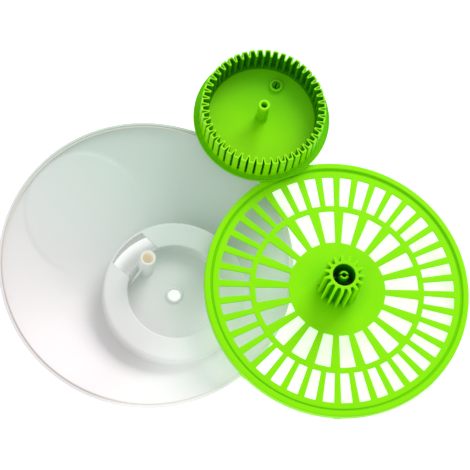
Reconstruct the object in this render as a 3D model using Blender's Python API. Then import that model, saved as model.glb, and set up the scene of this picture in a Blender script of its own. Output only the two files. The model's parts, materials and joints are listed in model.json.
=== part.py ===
"""Manual salad spinner, laid out in pieces on a table.

The lid lies on its back with its drive well open, the slotted drive plate
leans on the lid's rim, the crank wheel lies underside up across both rims,
and the bowl stands behind them with the basket in it.

Every piece is modelled about its own turning axis, with +Z pointing the way
it points in the assembled spinner, and hangs from an empty that lays it out.
"""
import math

import bmesh
import bpy
from mathutils import Matrix, Vector

MM = 0.001

# ---------------------------------------------------------------- clearances
TOUCH_GAP = 0.3          # between pieces that rest on or sit in each other
RUN_GAP = 0.5            # between pieces that turn past each other
BITE = 0.2               # how far one shape sinks into another it is fused to

# ---------------------------------------------------------------------- lid
LID_RADIUS = 130.0
LID_WALL = 2.2
LID_SKIRT = 4.0          # straight height of the rim below the dome
LID_BAND = 4.4           # flat underside of the rim
DOME_DEPTH = 33.0
WELL_WALL = 1.8
GROOVE_FLOOR = 6.0       # underside of the groove, above the rim's edge
ISLAND_FLOOR = 19.0      # underside of the island, above the rim's edge
ISLAND_SPACE = 4.3       # between the island's wall and the ring gear's tooth tips
AXLE_COLLAR = 1.8        # wall of the ring around the axle hole
AXLE_COLLAR_HEIGHT = 1.6
TUBE_OUTER_RADIUS = 7.0
TUBE_WALL = 2.2
TUBE_LENGTH = 36.0
RIB_THICKNESS = 1.8
RIB_DROP = 17.0
NOTCH_LEDGE = 0.6        # what is left of the groove's floor along the well's wall at the notch
REST_DISTANCE = 73.0     # middle of the flat for the hand, from the lid's axis
REST_RADIUS = 54.0

# --------------------------------------------------------------- gear train
GEAR_MODULE = 2.1
RING_DEDENDUM = 1.6      # depth of the ring's tooth gaps past the pitch circle, in modules
PINION_ADDENDUM = 1.05
PINION_DEDENDUM = 1.35
RING_TEETH = 48
PINION_TEETH = 15
RING_HEIGHT = 25.0
RING_WALL = 1.7
PINION_HEIGHT = 36.5
PINION_BORE_RADIUS = 10.0

# -------------------------------------------------------------- crank wheel
WHEEL_FLANGE = 5.3       # how far the disc stands out past the ring gear
WHEEL_DISC = 2.2
POST_OUTER_RADIUS = 5.0
POST_WALL = 2.1
POST_HEIGHT = 29.0
BOSS_WALL = 3.0
BOSS_HEIGHT = 3.5
CRANK_RADIUS = 33.0      # from the wheel's axis to the knob's axis

# --------------------------------------------------------------------- knob
KNOB_LENGTH = 35.0
KNOB_NECK_WALL = 1.0
KNOB_NECK_SHARE = 0.3    # share of the knob's length that stays slim
KNOB_RADIUS = 7.5
STEM_RADIUS = 2.7
STEM_SLOT = 1.3
KNOB_CAP_RADIUS = 5.2
KNOB_CAP_THICKNESS = 1.4

# -------------------------------------------------------------- drive plate
PLATE_SPACE = 8.3        # between the plate's skirt and the inside of the lid's rim
PLATE_THICKNESS = 2.2
HUB_RADIUS = 43.0
MID_RING_RADIUS = 75.0
MID_RING_WIDTH = 5.0
RIM_BAND_WIDTH = 12.8
PLATE_LIP = 1.6          # raised outer lip
PLATE_SKIRT = 5.0
NUB_DROP = 2.4
NUB_COUNT = 8
INNER_BARS = 20
OUTER_BARS = 40
BAR_SHARE = 0.38         # share of each pitch that is bar, the rest is slot
INNER_BAR_OFFSET = math.radians(-1.5)
SNAP_PIN_SPACE = 0.4     # between the pin and the bore of the lid's tube
SNAP_PIN_HEIGHT = 36.0
SNAP_PIN_BARB = 0.25
SNAP_PIN_SLOT = 1.6
SNAP_PIN_FOOT = 1.5

# --------------------------------------------------------- bowl and basket
BOWL_HEIGHT = 125.0
BOWL_WALL = 2.2
BOWL_BASE_RADIUS = 66.0
FOOT_RING_WIDTH = 7.0
FOOT_RING_HEIGHT = 3.0
PIVOT_RADIUS = 6.0
PIVOT_HEIGHT = 12.0
BASKET_HEIGHT = 95.0
BASKET_WALL = 2.0
BASKET_BASE_RADIUS = 70.0
BASKET_BARS = 36
BASKET_LIP = 2.6         # width of the basket's rim
BUSH_WALL = 1.8
BUSH_FLANGE = 3.0        # how far the bush's foot stands out past its sleeve
BUSH_FLOOR = 2.0

# ------------------------------------------------------------ mesh fineness
DOME_RINGS = 8
DOME_SEGMENTS = 72
WELL_SEGMENTS = 64
WHEEL_SEGMENTS = 64
BOWL_SEGMENTS = 60
BOWL_RINGS = 7
FOOT_SEGMENTS = 48
KNOB_SEGMENTS = 24
KNOB_RINGS = 10
SMALL_SEGMENTS = 28

# ----------------------------------------------------------------- lay-out
WELL_DIRECTION = math.radians(-42.0)
LID_LEAN_DIRECTION = math.radians(-47.0)
PLATE_OFFSET = Vector((167.0, -21.7))
PLATE_LEAN = Vector((0.133, -0.030))      # sideways part of its upward normal
PLATE_TURN = math.radians(-0.4)
WHEEL_BEARING = math.radians(53.1)        # of the wheel's axis, seen from the lid's axis
KNOB_SWEEP_GAP = 1.2     # between the lid's rim and the knob's neck as the crank turns
WHEEL_LEAN = Vector((0.079, -0.020))
CRANK_DIRECTION = math.radians(67.0)
BOWL_SPACE = 46.0        # free table between the wheel and the bowl

# ------------------------------------------------------------ worked out
TUBE_BORE_RADIUS = TUBE_OUTER_RADIUS - TUBE_WALL
POST_BORE_RADIUS = POST_OUTER_RADIUS - POST_WALL
RING_PITCH_RADIUS = GEAR_MODULE * RING_TEETH / 2
PINION_PITCH_RADIUS = GEAR_MODULE * PINION_TEETH / 2
WELL_OFFSET = RING_PITCH_RADIUS - PINION_PITCH_RADIUS
RING_TIP_RADIUS = RING_PITCH_RADIUS - GEAR_MODULE
RING_ROOT_RADIUS = RING_PITCH_RADIUS + RING_DEDENDUM * GEAR_MODULE
RING_OUTER_RADIUS = RING_ROOT_RADIUS + RING_WALL
ISLAND_INNER_RADIUS = RING_TIP_RADIUS - ISLAND_SPACE - LID_WALL
PINION_TIP_RADIUS = PINION_PITCH_RADIUS + PINION_ADDENDUM * GEAR_MODULE
PINION_ROOT_RADIUS = PINION_PITCH_RADIUS - PINION_DEDENDUM * GEAR_MODULE
WHEEL_RADIUS = RING_OUTER_RADIUS + WHEEL_FLANGE
WELL_INNER_RADIUS = WHEEL_RADIUS + RUN_GAP
WELL_OUTER_RADIUS = WELL_INNER_RADIUS + WELL_WALL
NOTCH_WIDTH = 2 * (PINION_TIP_RADIUS + 2 * RUN_GAP)
AXLE_HOLE_RADIUS = POST_OUTER_RADIUS + RUN_GAP
BOSS_HOLE_RADIUS = STEM_RADIUS + TOUCH_GAP
BOSS_RADIUS = BOSS_HOLE_RADIUS + BOSS_WALL
KNOB_NECK_RADIUS = STEM_RADIUS + TOUCH_GAP + KNOB_NECK_WALL
SNAP_PIN_RADIUS = TUBE_BORE_RADIUS - SNAP_PIN_SPACE
PLATE_RADIUS = LID_RADIUS - LID_BAND - PLATE_SPACE
RIM_BAND_INNER = PLATE_RADIUS - RIM_BAND_WIDTH
MID_RING_INNER = MID_RING_RADIUS - MID_RING_WIDTH / 2
MID_RING_OUTER = MID_RING_RADIUS + MID_RING_WIDTH / 2
BOWL_RADIUS = LID_RADIUS - 1.5
BASKET_RADIUS = PLATE_RADIUS + RUN_GAP + BASKET_LIP
BASKET_FOOT = FOOT_RING_HEIGHT + TOUCH_GAP + BOWL_WALL + 5.0
PIVOT_FOOT = FOOT_RING_HEIGHT + TOUCH_GAP + BOWL_WALL + TOUCH_GAP
BUSH_INNER_RADIUS = PIVOT_RADIUS + RUN_GAP
BUSH_OUTER_RADIUS = BUSH_INNER_RADIUS + BUSH_WALL
WHEEL_DISTANCE = LID_RADIUS + CRANK_RADIUS + KNOB_NECK_RADIUS + KNOB_SWEEP_GAP
WHEEL_OFFSET = Vector((math.cos(WHEEL_BEARING), math.sin(WHEEL_BEARING))) * WHEEL_DISTANCE
LID_LEAN = math.atan(2 * DOME_DEPTH * WELL_OFFSET / LID_RADIUS ** 2)


# ------------------------------------------------------------------ helpers
def clear_scene():
    """Start from an empty scene."""
    for thing in list(bpy.data.objects):
        bpy.data.objects.remove(thing, do_unlink=True)


def material(name, colour, roughness, metallic=0.0):
    """A Principled material with one colour, roughness and metallic value."""
    made = bpy.data.materials.new(name)
    made.use_nodes = True
    shader = made.node_tree.nodes["Principled BSDF"]
    shader.inputs["Base Color"].default_value = (*colour, 1.0)
    shader.inputs["Roughness"].default_value = roughness
    shader.inputs["Metallic"].default_value = metallic
    made.diffuse_color = (*colour, 1.0)
    return made


def to_object(name, bm, parent=None, finish=None, smooth_angle=32.0):
    """Turn a bmesh drawn in millimetres into an object in metres."""
    bmesh.ops.recalc_face_normals(bm, faces=bm.faces)
    bmesh.ops.scale(bm, vec=(MM, MM, MM), verts=bm.verts)
    mesh = bpy.data.meshes.new(name)
    bm.to_mesh(mesh)
    bm.free()
    mesh.shade_smooth()
    mesh.set_sharp_from_angle(angle=math.radians(smooth_angle))
    if finish:
        mesh.materials.append(finish)
    thing = bpy.data.objects.new(name, mesh)
    bpy.context.scene.collection.objects.link(thing)
    thing.parent = parent
    return thing


def turned(name, profile, segments, **options):
    """Turn a closed outline of (radius, height) points about Z.

    Points on the axis (radius 0) close the solid there.
    """
    bm = bmesh.new()
    rings = []
    for radius, height in profile:
        if radius < 1e-6:
            rings.append([bm.verts.new((0, 0, height))])
            continue
        ring = []
        for step in range(segments):
            angle = math.tau * step / segments
            ring.append(bm.verts.new((radius * math.cos(angle), radius * math.sin(angle), height)))
        rings.append(ring)
    for low, high in zip(rings, rings[1:] + rings[:1]):
        if len(low) == 1 and len(high) == 1:
            continue
        for step in range(segments):
            after = (step + 1) % segments
            corners = [low[step % len(low)], low[after % len(low)],
                       high[after % len(high)], high[step % len(high)]]
            bm.faces.new(list(dict.fromkeys(corners)))
    return to_object(name, bm, **options)


def drawn_out(name, outlines, low, high, **options):
    """Extrude a filled outline, with any further outlines as holes, from low to high."""
    bm = bmesh.new()
    edges = []
    for outline in outlines:
        ring = [bm.verts.new((x, y, low)) for x, y in outline]
        edges += [bm.edges.new(pair) for pair in zip(ring, ring[1:] + ring[:1])]
    filled = bmesh.ops.triangle_fill(bm, use_beauty=True, edges=edges)
    faces = [made for made in filled["geom"] if isinstance(made, bmesh.types.BMFace)]
    raised = bmesh.ops.extrude_face_region(bm, geom=faces)["geom"]
    tops = [made for made in raised if isinstance(made, bmesh.types.BMVert)]
    bmesh.ops.translate(bm, verts=tops, vec=(0, 0, high - low))
    return to_object(name, bm, **options)


def circle(radius, segments, centre=(0.0, 0.0)):
    """Points of a circle."""
    points = []
    for step in range(segments):
        angle = math.tau * step / segments
        points.append((centre[0] + radius * math.cos(angle), centre[1] + radius * math.sin(angle)))
    return points


def block(name, low, high, parent=None):
    """A box between two corners, for a cutter or a rib."""
    bm = bmesh.new()
    bmesh.ops.create_cube(bm, size=1.0)
    size = Vector(high) - Vector(low)
    middle = (Vector(high) + Vector(low)) / 2
    bmesh.ops.transform(bm, matrix=Matrix.Translation(middle) @ Matrix.Diagonal((*size, 1.0)),
                        verts=bm.verts)
    return to_object(name, bm, parent=parent)


def combine(target, tool, operation):
    """Add, cut or keep the common part of tool with a Boolean, and hide tool as a guide."""
    step = target.modifiers.new(f"{operation} {tool.name}", "BOOLEAN")
    step.operation = operation
    step.solver = "EXACT"
    step.object = tool
    tool.hide_render = True
    tool.display_type = "WIRE"
    return target


def empty(name, placed=None, parent=None):
    """An empty that carries one piece's pose; placed is a matrix in metres."""
    carrier = bpy.data.objects.new(name, None)
    bpy.context.scene.collection.objects.link(carrier)
    carrier.parent = parent
    if placed is not None:
        carrier.matrix_local = placed
    return carrier


def leaning(lean):
    """The upward unit normal whose sideways part is lean."""
    return Vector((lean.x, lean.y, math.sqrt(1 - lean.length_squared)))


def laid_out(origin, up, turn, upside_down=False):
    """Matrix that puts a piece's origin at origin (mm) and its +Z along up, or along -up."""
    axis = -up if upside_down else up
    ahead = Vector((math.cos(turn), math.sin(turn), 0))
    ahead = (ahead - axis * ahead.dot(axis)).normalized()
    side = axis.cross(ahead)
    turned_axes = Matrix((ahead, side, axis)).transposed().to_4x4()
    return Matrix.Translation(origin * MM) @ turned_axes


# --------------------------------------------------------------------- lid
def dome_height(radius):
    """Height of the dome's outer surface above the rim's edge."""
    return LID_SKIRT + DOME_DEPTH * (1 - (radius / LID_RADIUS) ** 2)


def rest_plane(inset):
    """Matrix of the hand rest's plane: origin in the plane, +Z outwards, moved in by inset."""
    flat_height = LID_SKIRT + DOME_DEPTH * (1 - (REST_RADIUS ** 2 + REST_DISTANCE ** 2) / LID_RADIUS ** 2)
    slope = 2 * DOME_DEPTH * REST_DISTANCE / LID_RADIUS ** 2
    tilt = Matrix.Rotation(-math.atan(slope), 4, "Y")
    return Matrix.Translation((-REST_DISTANCE, 0, flat_height)) @ tilt @ Matrix.Translation((0, 0, -inset))


def rest_cutter(name, inset, parent):
    """The space above the hand rest's plane."""
    tool = block(name, (-LID_RADIUS, -LID_RADIUS, 0), (LID_RADIUS, LID_RADIUS, DOME_DEPTH), parent)
    place = rest_plane(inset)
    place.translation *= MM
    tool.matrix_local = place
    return tool


def dome_solid(name, inset, rings, segments, parent, finish=None):
    """The dome as a filled solid, moved in by inset and flattened for the hand."""
    if inset:
        edge = LID_RADIUS - LID_BAND
        top = dome_height(0) - inset
        reach = LID_SKIRT + DOME_DEPTH * (1 - (edge / LID_RADIUS) ** 2) - inset
        outline = [(0, -1.0), (edge, -1.0)]
    else:
        edge = LID_RADIUS
        top = dome_height(0)
        reach = LID_SKIRT
        outline = [(0, 0.0), (edge - 1.0, 0.0), (edge, 1.0)]
    for step in range(rings):
        radius = edge * math.cos(math.pi / 2 * step / rings)
        height = reach + (top - reach) * (1 - (radius / edge) ** 2)
        outline.append((radius, height))
    outline.append((0, top))
    solid = turned(name, outline, segments, parent=parent, finish=finish)
    return combine(solid, rest_cutter(f"{name}_rest_cutter", inset, parent), "DIFFERENCE")


def lid_well(parent):
    """The drive well: outer wall, groove floor, island wall and island floor with its axle hole."""
    floor = LID_WALL
    collar = AXLE_HOLE_RADIUS + AXLE_COLLAR
    inner = ISLAND_INNER_RADIUS
    crown = dome_height(0) + 2.0
    outline = [
        (AXLE_HOLE_RADIUS, ISLAND_FLOOR - AXLE_COLLAR_HEIGHT), (collar, ISLAND_FLOOR - AXLE_COLLAR_HEIGHT),
        (collar, ISLAND_FLOOR), (inner, ISLAND_FLOOR), (inner, GROOVE_FLOOR + 1), (inner + 1, GROOVE_FLOOR),
        (WELL_OUTER_RADIUS - 1.5, GROOVE_FLOOR), (WELL_OUTER_RADIUS, GROOVE_FLOOR + 1.5),
        (WELL_OUTER_RADIUS, crown), (WELL_INNER_RADIUS, crown), (WELL_INNER_RADIUS, GROOVE_FLOOR + floor),
        (inner + floor, GROOVE_FLOOR + floor), (inner + floor, ISLAND_FLOOR + floor),
        (AXLE_HOLE_RADIUS, ISLAND_FLOOR + floor),
    ]
    well = turned("lid_well", outline, WELL_SEGMENTS, parent=parent)
    well.location.x = WELL_OFFSET * MM
    limit = dome_solid("lid_well_limit", BITE, DOME_RINGS, DOME_SEGMENTS, parent)
    return combine(well, limit, "INTERSECT")


def notch_cutter(parent):
    """The way the pinion reaches the ring gear: through the island's wall and the groove's floor."""
    far = WELL_INNER_RADIUS - NOTCH_LEDGE
    half = math.asin(NOTCH_WIDTH / 2 / far)
    outline = [(0, NOTCH_WIDTH / 2)]
    for step in range(9):
        angle = math.pi - half + 2 * half * step / 8
        outline.append((WELL_OFFSET + far * math.cos(angle), far * math.sin(angle)))
    outline.append((0, -NOTCH_WIDTH / 2))
    return drawn_out("lid_notch", [outline], GROOVE_FLOOR - 5, ISLAND_FLOOR - BITE, parent=parent)


def lid_rib(parent):
    """Tapered rib from the tube to the island's wall, beside the notch."""
    reach = math.sqrt(ISLAND_INNER_RADIUS ** 2 - WELL_OFFSET ** 2) + 1.0
    bm = bmesh.new()
    outline = [(TUBE_BORE_RADIUS + 0.6, ISLAND_FLOOR + 1), (TUBE_BORE_RADIUS + 0.6, ISLAND_FLOOR - RIB_DROP),
               (reach, ISLAND_FLOOR - 1.5), (reach, ISLAND_FLOOR + 1)]
    front = [bm.verts.new((-RIB_THICKNESS / 2, across, height)) for across, height in outline]
    base = bm.faces.new(front)
    raised = bmesh.ops.extrude_face_region(bm, geom=[base])["geom"]
    moved = [made for made in raised if isinstance(made, bmesh.types.BMVert)]
    bmesh.ops.translate(bm, verts=moved, vec=(RIB_THICKNESS, 0, 0))
    return to_object("lid_rib", bm, parent=parent)


def make_lid(parent, finish):
    """Domed lid with the eccentric drive well, the pinion's notch and the hanging tube."""
    lid = dome_solid("lid", 0.0, DOME_RINGS, DOME_SEGMENTS, parent, finish)
    combine(lid, dome_solid("lid_inside", LID_WALL, DOME_RINGS, DOME_SEGMENTS, parent), "DIFFERENCE")
    middle = (WELL_INNER_RADIUS + WELL_OUTER_RADIUS) / 2
    top = dome_height(0) + 5.0
    hole = drawn_out("lid_well_hole", [circle(middle, WELL_SEGMENTS, (WELL_OFFSET, 0))], 1.0, top, parent=parent)
    combine(lid, hole, "DIFFERENCE")
    combine(lid, lid_well(parent), "UNION")
    combine(lid, notch_cutter(parent), "DIFFERENCE")
    tube = drawn_out("lid_tube", [circle(TUBE_OUTER_RADIUS, 32)], ISLAND_FLOOR - TUBE_LENGTH,
                     ISLAND_FLOOR + BITE, parent=parent)
    combine(lid, tube, "UNION")
    combine(lid, lid_rib(parent), "UNION")
    bore = drawn_out("lid_tube_bore", [circle(TUBE_BORE_RADIUS, 28)], ISLAND_FLOOR - TUBE_LENGTH - 1,
                     ISLAND_FLOOR + LID_WALL + 1, parent=parent)
    return combine(lid, bore, "DIFFERENCE")


# -------------------------------------------------------------- crank wheel
def tooth_wave(inner, outer, teeth, half_inner, half_outer):
    """Closed outline that steps between two radii; half widths are shares of the tooth pitch."""
    outline = []
    pitch = math.tau / teeth
    for tooth in range(teeth):
        middle = pitch * tooth
        for share, radius in ((-half_outer, outer), (-half_inner, inner), (half_inner, inner),
                              (half_outer, outer)):
            angle = middle + share * pitch
            outline.append((radius * math.cos(angle), radius * math.sin(angle)))
    return outline


def make_crank_wheel(parent, finish):
    """Disc with the corrugated ring gear, the axle post and the knob's boss.

    Height 0 is the underside of the disc; the ring gear hangs below it.
    """
    top = WHEEL_DISC
    outline = [(0, 0), (WHEEL_RADIUS - 0.6, 0), (WHEEL_RADIUS, 0.6), (WHEEL_RADIUS, top - 0.8),
               (WHEEL_RADIUS - 0.8, top), (0, top)]
    wheel = turned("crank_wheel", outline, WHEEL_SEGMENTS, parent=parent, finish=finish)
    inside = tooth_wave(RING_TIP_RADIUS, RING_ROOT_RADIUS, RING_TEETH, 0.14, 0.30)
    outside = tooth_wave(RING_TIP_RADIUS + RING_WALL, RING_OUTER_RADIUS, RING_TEETH, 0.02, 0.16)
    ring = drawn_out("wheel_ring_gear", [outside, inside], -RING_HEIGHT, BITE, parent=parent)
    combine(wheel, ring, "UNION")
    post = drawn_out("wheel_post", [circle(POST_OUTER_RADIUS, 32)], -POST_HEIGHT, BITE, parent=parent)
    combine(wheel, post, "UNION")
    bore = drawn_out("wheel_post_bore", [circle(POST_BORE_RADIUS, 24)], -POST_HEIGHT - 1, -1.0, parent=parent)
    combine(wheel, bore, "DIFFERENCE")
    middle = (CRANK_RADIUS, 0)
    boss = drawn_out("wheel_boss", [circle(BOSS_RADIUS, 32, middle)], -BOSS_HEIGHT, BITE, parent=parent)
    combine(wheel, boss, "UNION")
    hole = drawn_out("wheel_boss_hole", [circle(BOSS_HOLE_RADIUS, 24, middle)], -BOSS_HEIGHT - 1, top + 1,
                     parent=parent)
    return combine(wheel, hole, "DIFFERENCE")


def make_knob(parent, finish, stem_finish, cap_finish):
    """Turned grip, the split stem that holds it in the boss, and its end cap.

    Height 0 is the top of the wheel's disc.
    """
    foot = TOUCH_GAP
    bore = STEM_RADIUS + TOUCH_GAP
    cap_seat = KNOB_LENGTH - KNOB_CAP_THICKNESS
    outline = [(bore, foot), (KNOB_NECK_RADIUS, foot)]
    steps = KNOB_RINGS
    for step in range(1, steps):
        share = step / steps
        grown = min(1.0, max(0.0, (share - KNOB_NECK_SHARE) / 0.45))
        swell = math.sin(math.pi / 2 * grown) ** 2
        shoulder = math.sqrt(1 - max(0.0, (share - 0.72) / 0.28) ** 2 * 0.45)
        radius = (KNOB_NECK_RADIUS + (KNOB_RADIUS - KNOB_NECK_RADIUS) * swell) * shoulder
        outline.append((radius, foot + (KNOB_LENGTH - foot) * share))
    outline += [(KNOB_CAP_RADIUS + 0.7, KNOB_LENGTH), (KNOB_CAP_RADIUS + TOUCH_GAP, KNOB_LENGTH),
                (KNOB_CAP_RADIUS + TOUCH_GAP, cap_seat - TOUCH_GAP), (bore, cap_seat - TOUCH_GAP)]
    turned("knob", outline, KNOB_SEGMENTS, parent=parent, finish=finish)

    cap = [(0, cap_seat), (KNOB_CAP_RADIUS, cap_seat), (KNOB_CAP_RADIUS, KNOB_LENGTH - 0.4),
           (KNOB_CAP_RADIUS - 0.5, KNOB_LENGTH), (0, KNOB_LENGTH + 0.3)]
    turned("knob_cap", cap, KNOB_SEGMENTS, parent=parent, finish=cap_finish)

    tip = -WHEEL_DISC - BOSS_HEIGHT - 2.2
    barb = tip + 1.4
    under = -WHEEL_DISC - BOSS_HEIGHT - TOUCH_GAP
    head = cap_seat - TOUCH_GAP * 2
    stem_outline = [(0, tip), (STEM_RADIUS - 0.6, tip), (STEM_RADIUS + 0.5, barb), (STEM_RADIUS + 0.5, under),
                    (STEM_RADIUS, under), (STEM_RADIUS, head), (0, head)]
    stem = turned("knob_stem", stem_outline, 20, parent=parent, finish=stem_finish)
    slot = block("knob_stem_slot", (-5, -STEM_SLOT / 2, tip - 1), (5, STEM_SLOT / 2, KNOB_LENGTH * 0.25), parent)
    combine(stem, slot, "DIFFERENCE")


# -------------------------------------------------------------- drive plate
def bar_angles(bar, count, offset):
    """The two edge angles of one bar."""
    pitch = math.tau / count
    middle = pitch * bar + offset
    half = pitch * BAR_SHARE / 2
    return middle - half, middle + half


def plate_sheet():
    """The plate's top surface as rings of vertices, with the slots left open.

    Each outer bar gives two spokes of vertices. Inside the middle ring the
    spokes of every second bar swing over to the edges of the inner bars.
    """
    lip_inner = PLATE_RADIUS - 5.5
    rings = [(12.0, 0), (HUB_RADIUS, 0), (MID_RING_INNER, 0), (MID_RING_OUTER, 0), (RIM_BAND_INNER, 0),
             (lip_inner, 0), (lip_inner + 1.2, PLATE_LIP), (PLATE_RADIUS - 1.0, PLATE_LIP),
             (PLATE_RADIUS, PLATE_LIP - 1.0), (PLATE_RADIUS, -PLATE_SKIRT)]
    bm = bmesh.new()
    grid = []
    for ring, (radius, height) in enumerate(rings):
        row = []
        for bar in range(OUTER_BARS):
            low, high = bar_angles(bar, OUTER_BARS, 0.0)
            if ring <= 2 and bar % 2 == 0:
                low, high = bar_angles(bar // 2, INNER_BARS, INNER_BAR_OFFSET)
            for angle in (low, high):
                row.append(bm.verts.new((radius * math.cos(angle), radius * math.sin(angle), height)))
        grid.append(row)
    spokes = 2 * OUTER_BARS
    for ring in range(len(rings) - 1):
        for spoke in range(spokes):
            on_outer_bar = spoke % 2 == 0
            on_inner_bar = spoke % 4 == 0
            if ring == 1 and not on_inner_bar:
                continue
            if ring == 3 and not on_outer_bar:
                continue
            after = (spoke + 1) % spokes
            bm.faces.new((grid[ring][spoke], grid[ring][after], grid[ring + 1][after], grid[ring + 1][spoke]))
    skirt = grid[-1]
    for nub in range(NUB_COUNT):
        spoke = nub * spokes // NUB_COUNT
        edge = skirt[spoke:spoke + 2]
        low = [bm.verts.new(corner.co + Vector((0, 0, -NUB_DROP))) for corner in edge]
        bm.faces.new((edge[0], edge[1], low[1], low[0]))
    return bm


def make_drive_plate(parent, finish):
    """Slotted plate with a raised lip, a skirt and clip nubs. Height 0 is the hub's top face."""
    plate = to_object("drive_plate", plate_sheet(), parent=parent, finish=finish)
    thick = plate.modifiers.new("thickness", "SOLIDIFY")
    thick.thickness = PLATE_THICKNESS * MM
    thick.offset = -1.0
    thick.use_even_offset = True
    return plate


def make_pinion(parent, finish):
    """Spur pinion that stands on the plate's hub."""
    flank = tooth_wave(PINION_TIP_RADIUS, PINION_ROOT_RADIUS, PINION_TEETH, 0.13, 0.31)
    drawn_out("pinion", [flank, circle(PINION_BORE_RADIUS, 45)], TOUCH_GAP, TOUCH_GAP + PINION_HEIGHT,
              parent=parent, finish=finish)


def make_snap_pin(parent, finish):
    """Split pin in the pinion's bore, which snaps into the lid's tube."""
    foot = TOUCH_GAP
    barb = SNAP_PIN_RADIUS + SNAP_PIN_BARB
    top = foot + SNAP_PIN_HEIGHT
    outline = [(0, foot), (PINION_BORE_RADIUS - RUN_GAP * 2, foot),
               (PINION_BORE_RADIUS - RUN_GAP * 2, foot + SNAP_PIN_FOOT),
               (SNAP_PIN_RADIUS, foot + SNAP_PIN_FOOT + 1.0), (SNAP_PIN_RADIUS, top - 3.4), (barb, top - 2.8),
               (barb, top - 2.0), (SNAP_PIN_RADIUS - 1.0, top), (0, top)]
    pin = turned("snap_pin", outline, SMALL_SEGMENTS, parent=parent, finish=finish)
    slot = block("snap_pin_slot", (-SNAP_PIN_RADIUS * 2, -SNAP_PIN_SLOT / 2, SNAP_PIN_HEIGHT * 0.4),
                 (SNAP_PIN_RADIUS * 2, SNAP_PIN_SLOT / 2, top + 1), parent)
    combine(pin, slot, "DIFFERENCE")


# --------------------------------------------------------- bowl and basket
def bowl_curve(base, rim, low, high, share):
    """A point on a bowl's side: a quarter ellipse that starts level and ends upright."""
    angle = math.pi / 2 * share
    return base + (rim - base) * math.sin(angle), low + (high - low) * (1 - math.cos(angle))


def make_bowl(parent, finish, foot_finish, pivot_finish):
    """Round bowl on an anti-slip ring, with the basket's pivot in the middle."""
    low = FOOT_RING_HEIGHT + TOUCH_GAP
    steps = BOWL_RINGS
    outside = [bowl_curve(BOWL_BASE_RADIUS, BOWL_RADIUS, low, BOWL_HEIGHT, step / steps) for step in range(steps)]
    inside = []
    for step in range(steps):
        inside.append(bowl_curve(BOWL_BASE_RADIUS, BOWL_RADIUS - BOWL_WALL, low + BOWL_WALL, BOWL_HEIGHT,
                                 step / steps))
    outline = [(0, low)] + outside + [(BOWL_RADIUS, BOWL_HEIGHT), (BOWL_RADIUS - BOWL_WALL, BOWL_HEIGHT)]
    outline += inside[::-1] + [(0, low + BOWL_WALL)]
    turned("bowl", outline, BOWL_SEGMENTS, parent=parent, finish=finish)

    inner = BOWL_BASE_RADIUS - FOOT_RING_WIDTH
    ring = [(inner, 0.6), (inner + 0.6, 0), (BOWL_BASE_RADIUS - 0.6, 0), (BOWL_BASE_RADIUS, 0.6),
            (BOWL_BASE_RADIUS, FOOT_RING_HEIGHT), (inner, FOOT_RING_HEIGHT)]
    turned("foot_ring", ring, FOOT_SEGMENTS, parent=parent, finish=foot_finish)

    top = PIVOT_FOOT + PIVOT_HEIGHT
    pivot = [(0, PIVOT_FOOT), (PIVOT_RADIUS * 2, PIVOT_FOOT), (PIVOT_RADIUS * 2, PIVOT_FOOT + 1.5),
             (PIVOT_RADIUS, PIVOT_FOOT + 2.5), (PIVOT_RADIUS, top - 3), (PIVOT_RADIUS * 0.4, top), (0, top)]
    turned("bowl_pivot", pivot, 20, parent=parent, finish=pivot_finish)


def basket_profile():
    """Rings of the basket's inner surface, from its floor hole to its rim, with the slotted bands."""
    wall_low = BASKET_FOOT
    wall_high = BASKET_FOOT + BASKET_HEIGHT
    rings = [(BUSH_OUTER_RADIUS + TOUCH_GAP, False), (BASKET_BASE_RADIUS * 0.34, True),
             (BASKET_BASE_RADIUS * 0.86, False)]
    profile = [(radius, wall_low, slotted) for radius, slotted in rings]
    curve = [(0.0, False), (0.16, False), (0.42, True), (0.48, False), (0.90, True), (0.96, False), (1.0, False)]
    corner = BASKET_BASE_RADIUS * 0.94
    for share, slotted in curve:
        radius, height = bowl_curve(corner, BASKET_RADIUS - BASKET_LIP, wall_low, wall_high, share)
        profile.append((radius, height, slotted))
    profile.append((BASKET_RADIUS, wall_high, False))
    return profile


def make_basket(parent, finish, bush_finish):
    """Slotted basket and the bush in its floor, which turns on the bowl's pivot."""
    profile = basket_profile()
    spokes = 2 * BASKET_BARS
    bm = bmesh.new()
    grid = []
    for radius, height, _ in profile:
        row = []
        for bar in range(BASKET_BARS):
            for angle in bar_angles(bar, BASKET_BARS, 0.0):
                row.append(bm.verts.new((radius * math.cos(angle), radius * math.sin(angle), height)))
        grid.append(row)
    for ring in range(len(profile) - 1):
        slotted = profile[ring + 1][2]
        for spoke in range(spokes):
            if slotted and spoke % 2:
                continue
            after = (spoke + 1) % spokes
            bm.faces.new((grid[ring][spoke], grid[ring][after], grid[ring + 1][after], grid[ring + 1][spoke]))
    basket = to_object("basket", bm, parent=parent, finish=finish)
    thick = basket.modifiers.new("thickness", "SOLIDIFY")
    thick.thickness = BASKET_WALL * MM
    thick.offset = 0.0
    thick.use_even_offset = True

    low = PIVOT_FOOT + 2.5 + RUN_GAP
    floor = BASKET_FOOT + BASKET_WALL / 2 + TOUCH_GAP
    height = max(floor + BUSH_FLOOR, PIVOT_FOOT + PIVOT_HEIGHT + RUN_GAP + BUSH_FLOOR)
    bush = [(BUSH_INNER_RADIUS, low), (BUSH_OUTER_RADIUS, low), (BUSH_OUTER_RADIUS, floor),
            (BUSH_OUTER_RADIUS + BUSH_FLANGE, floor), (BUSH_OUTER_RADIUS + BUSH_FLANGE, floor + BUSH_FLOOR),
            (BUSH_OUTER_RADIUS, floor + BUSH_FLOOR), (BUSH_OUTER_RADIUS, height), (0, height),
            (0, height - BUSH_FLOOR), (BUSH_INNER_RADIUS, height - BUSH_FLOOR)]
    turned("basket_bush", bush, SMALL_SEGMENTS, parent=parent, finish=bush_finish)


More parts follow.
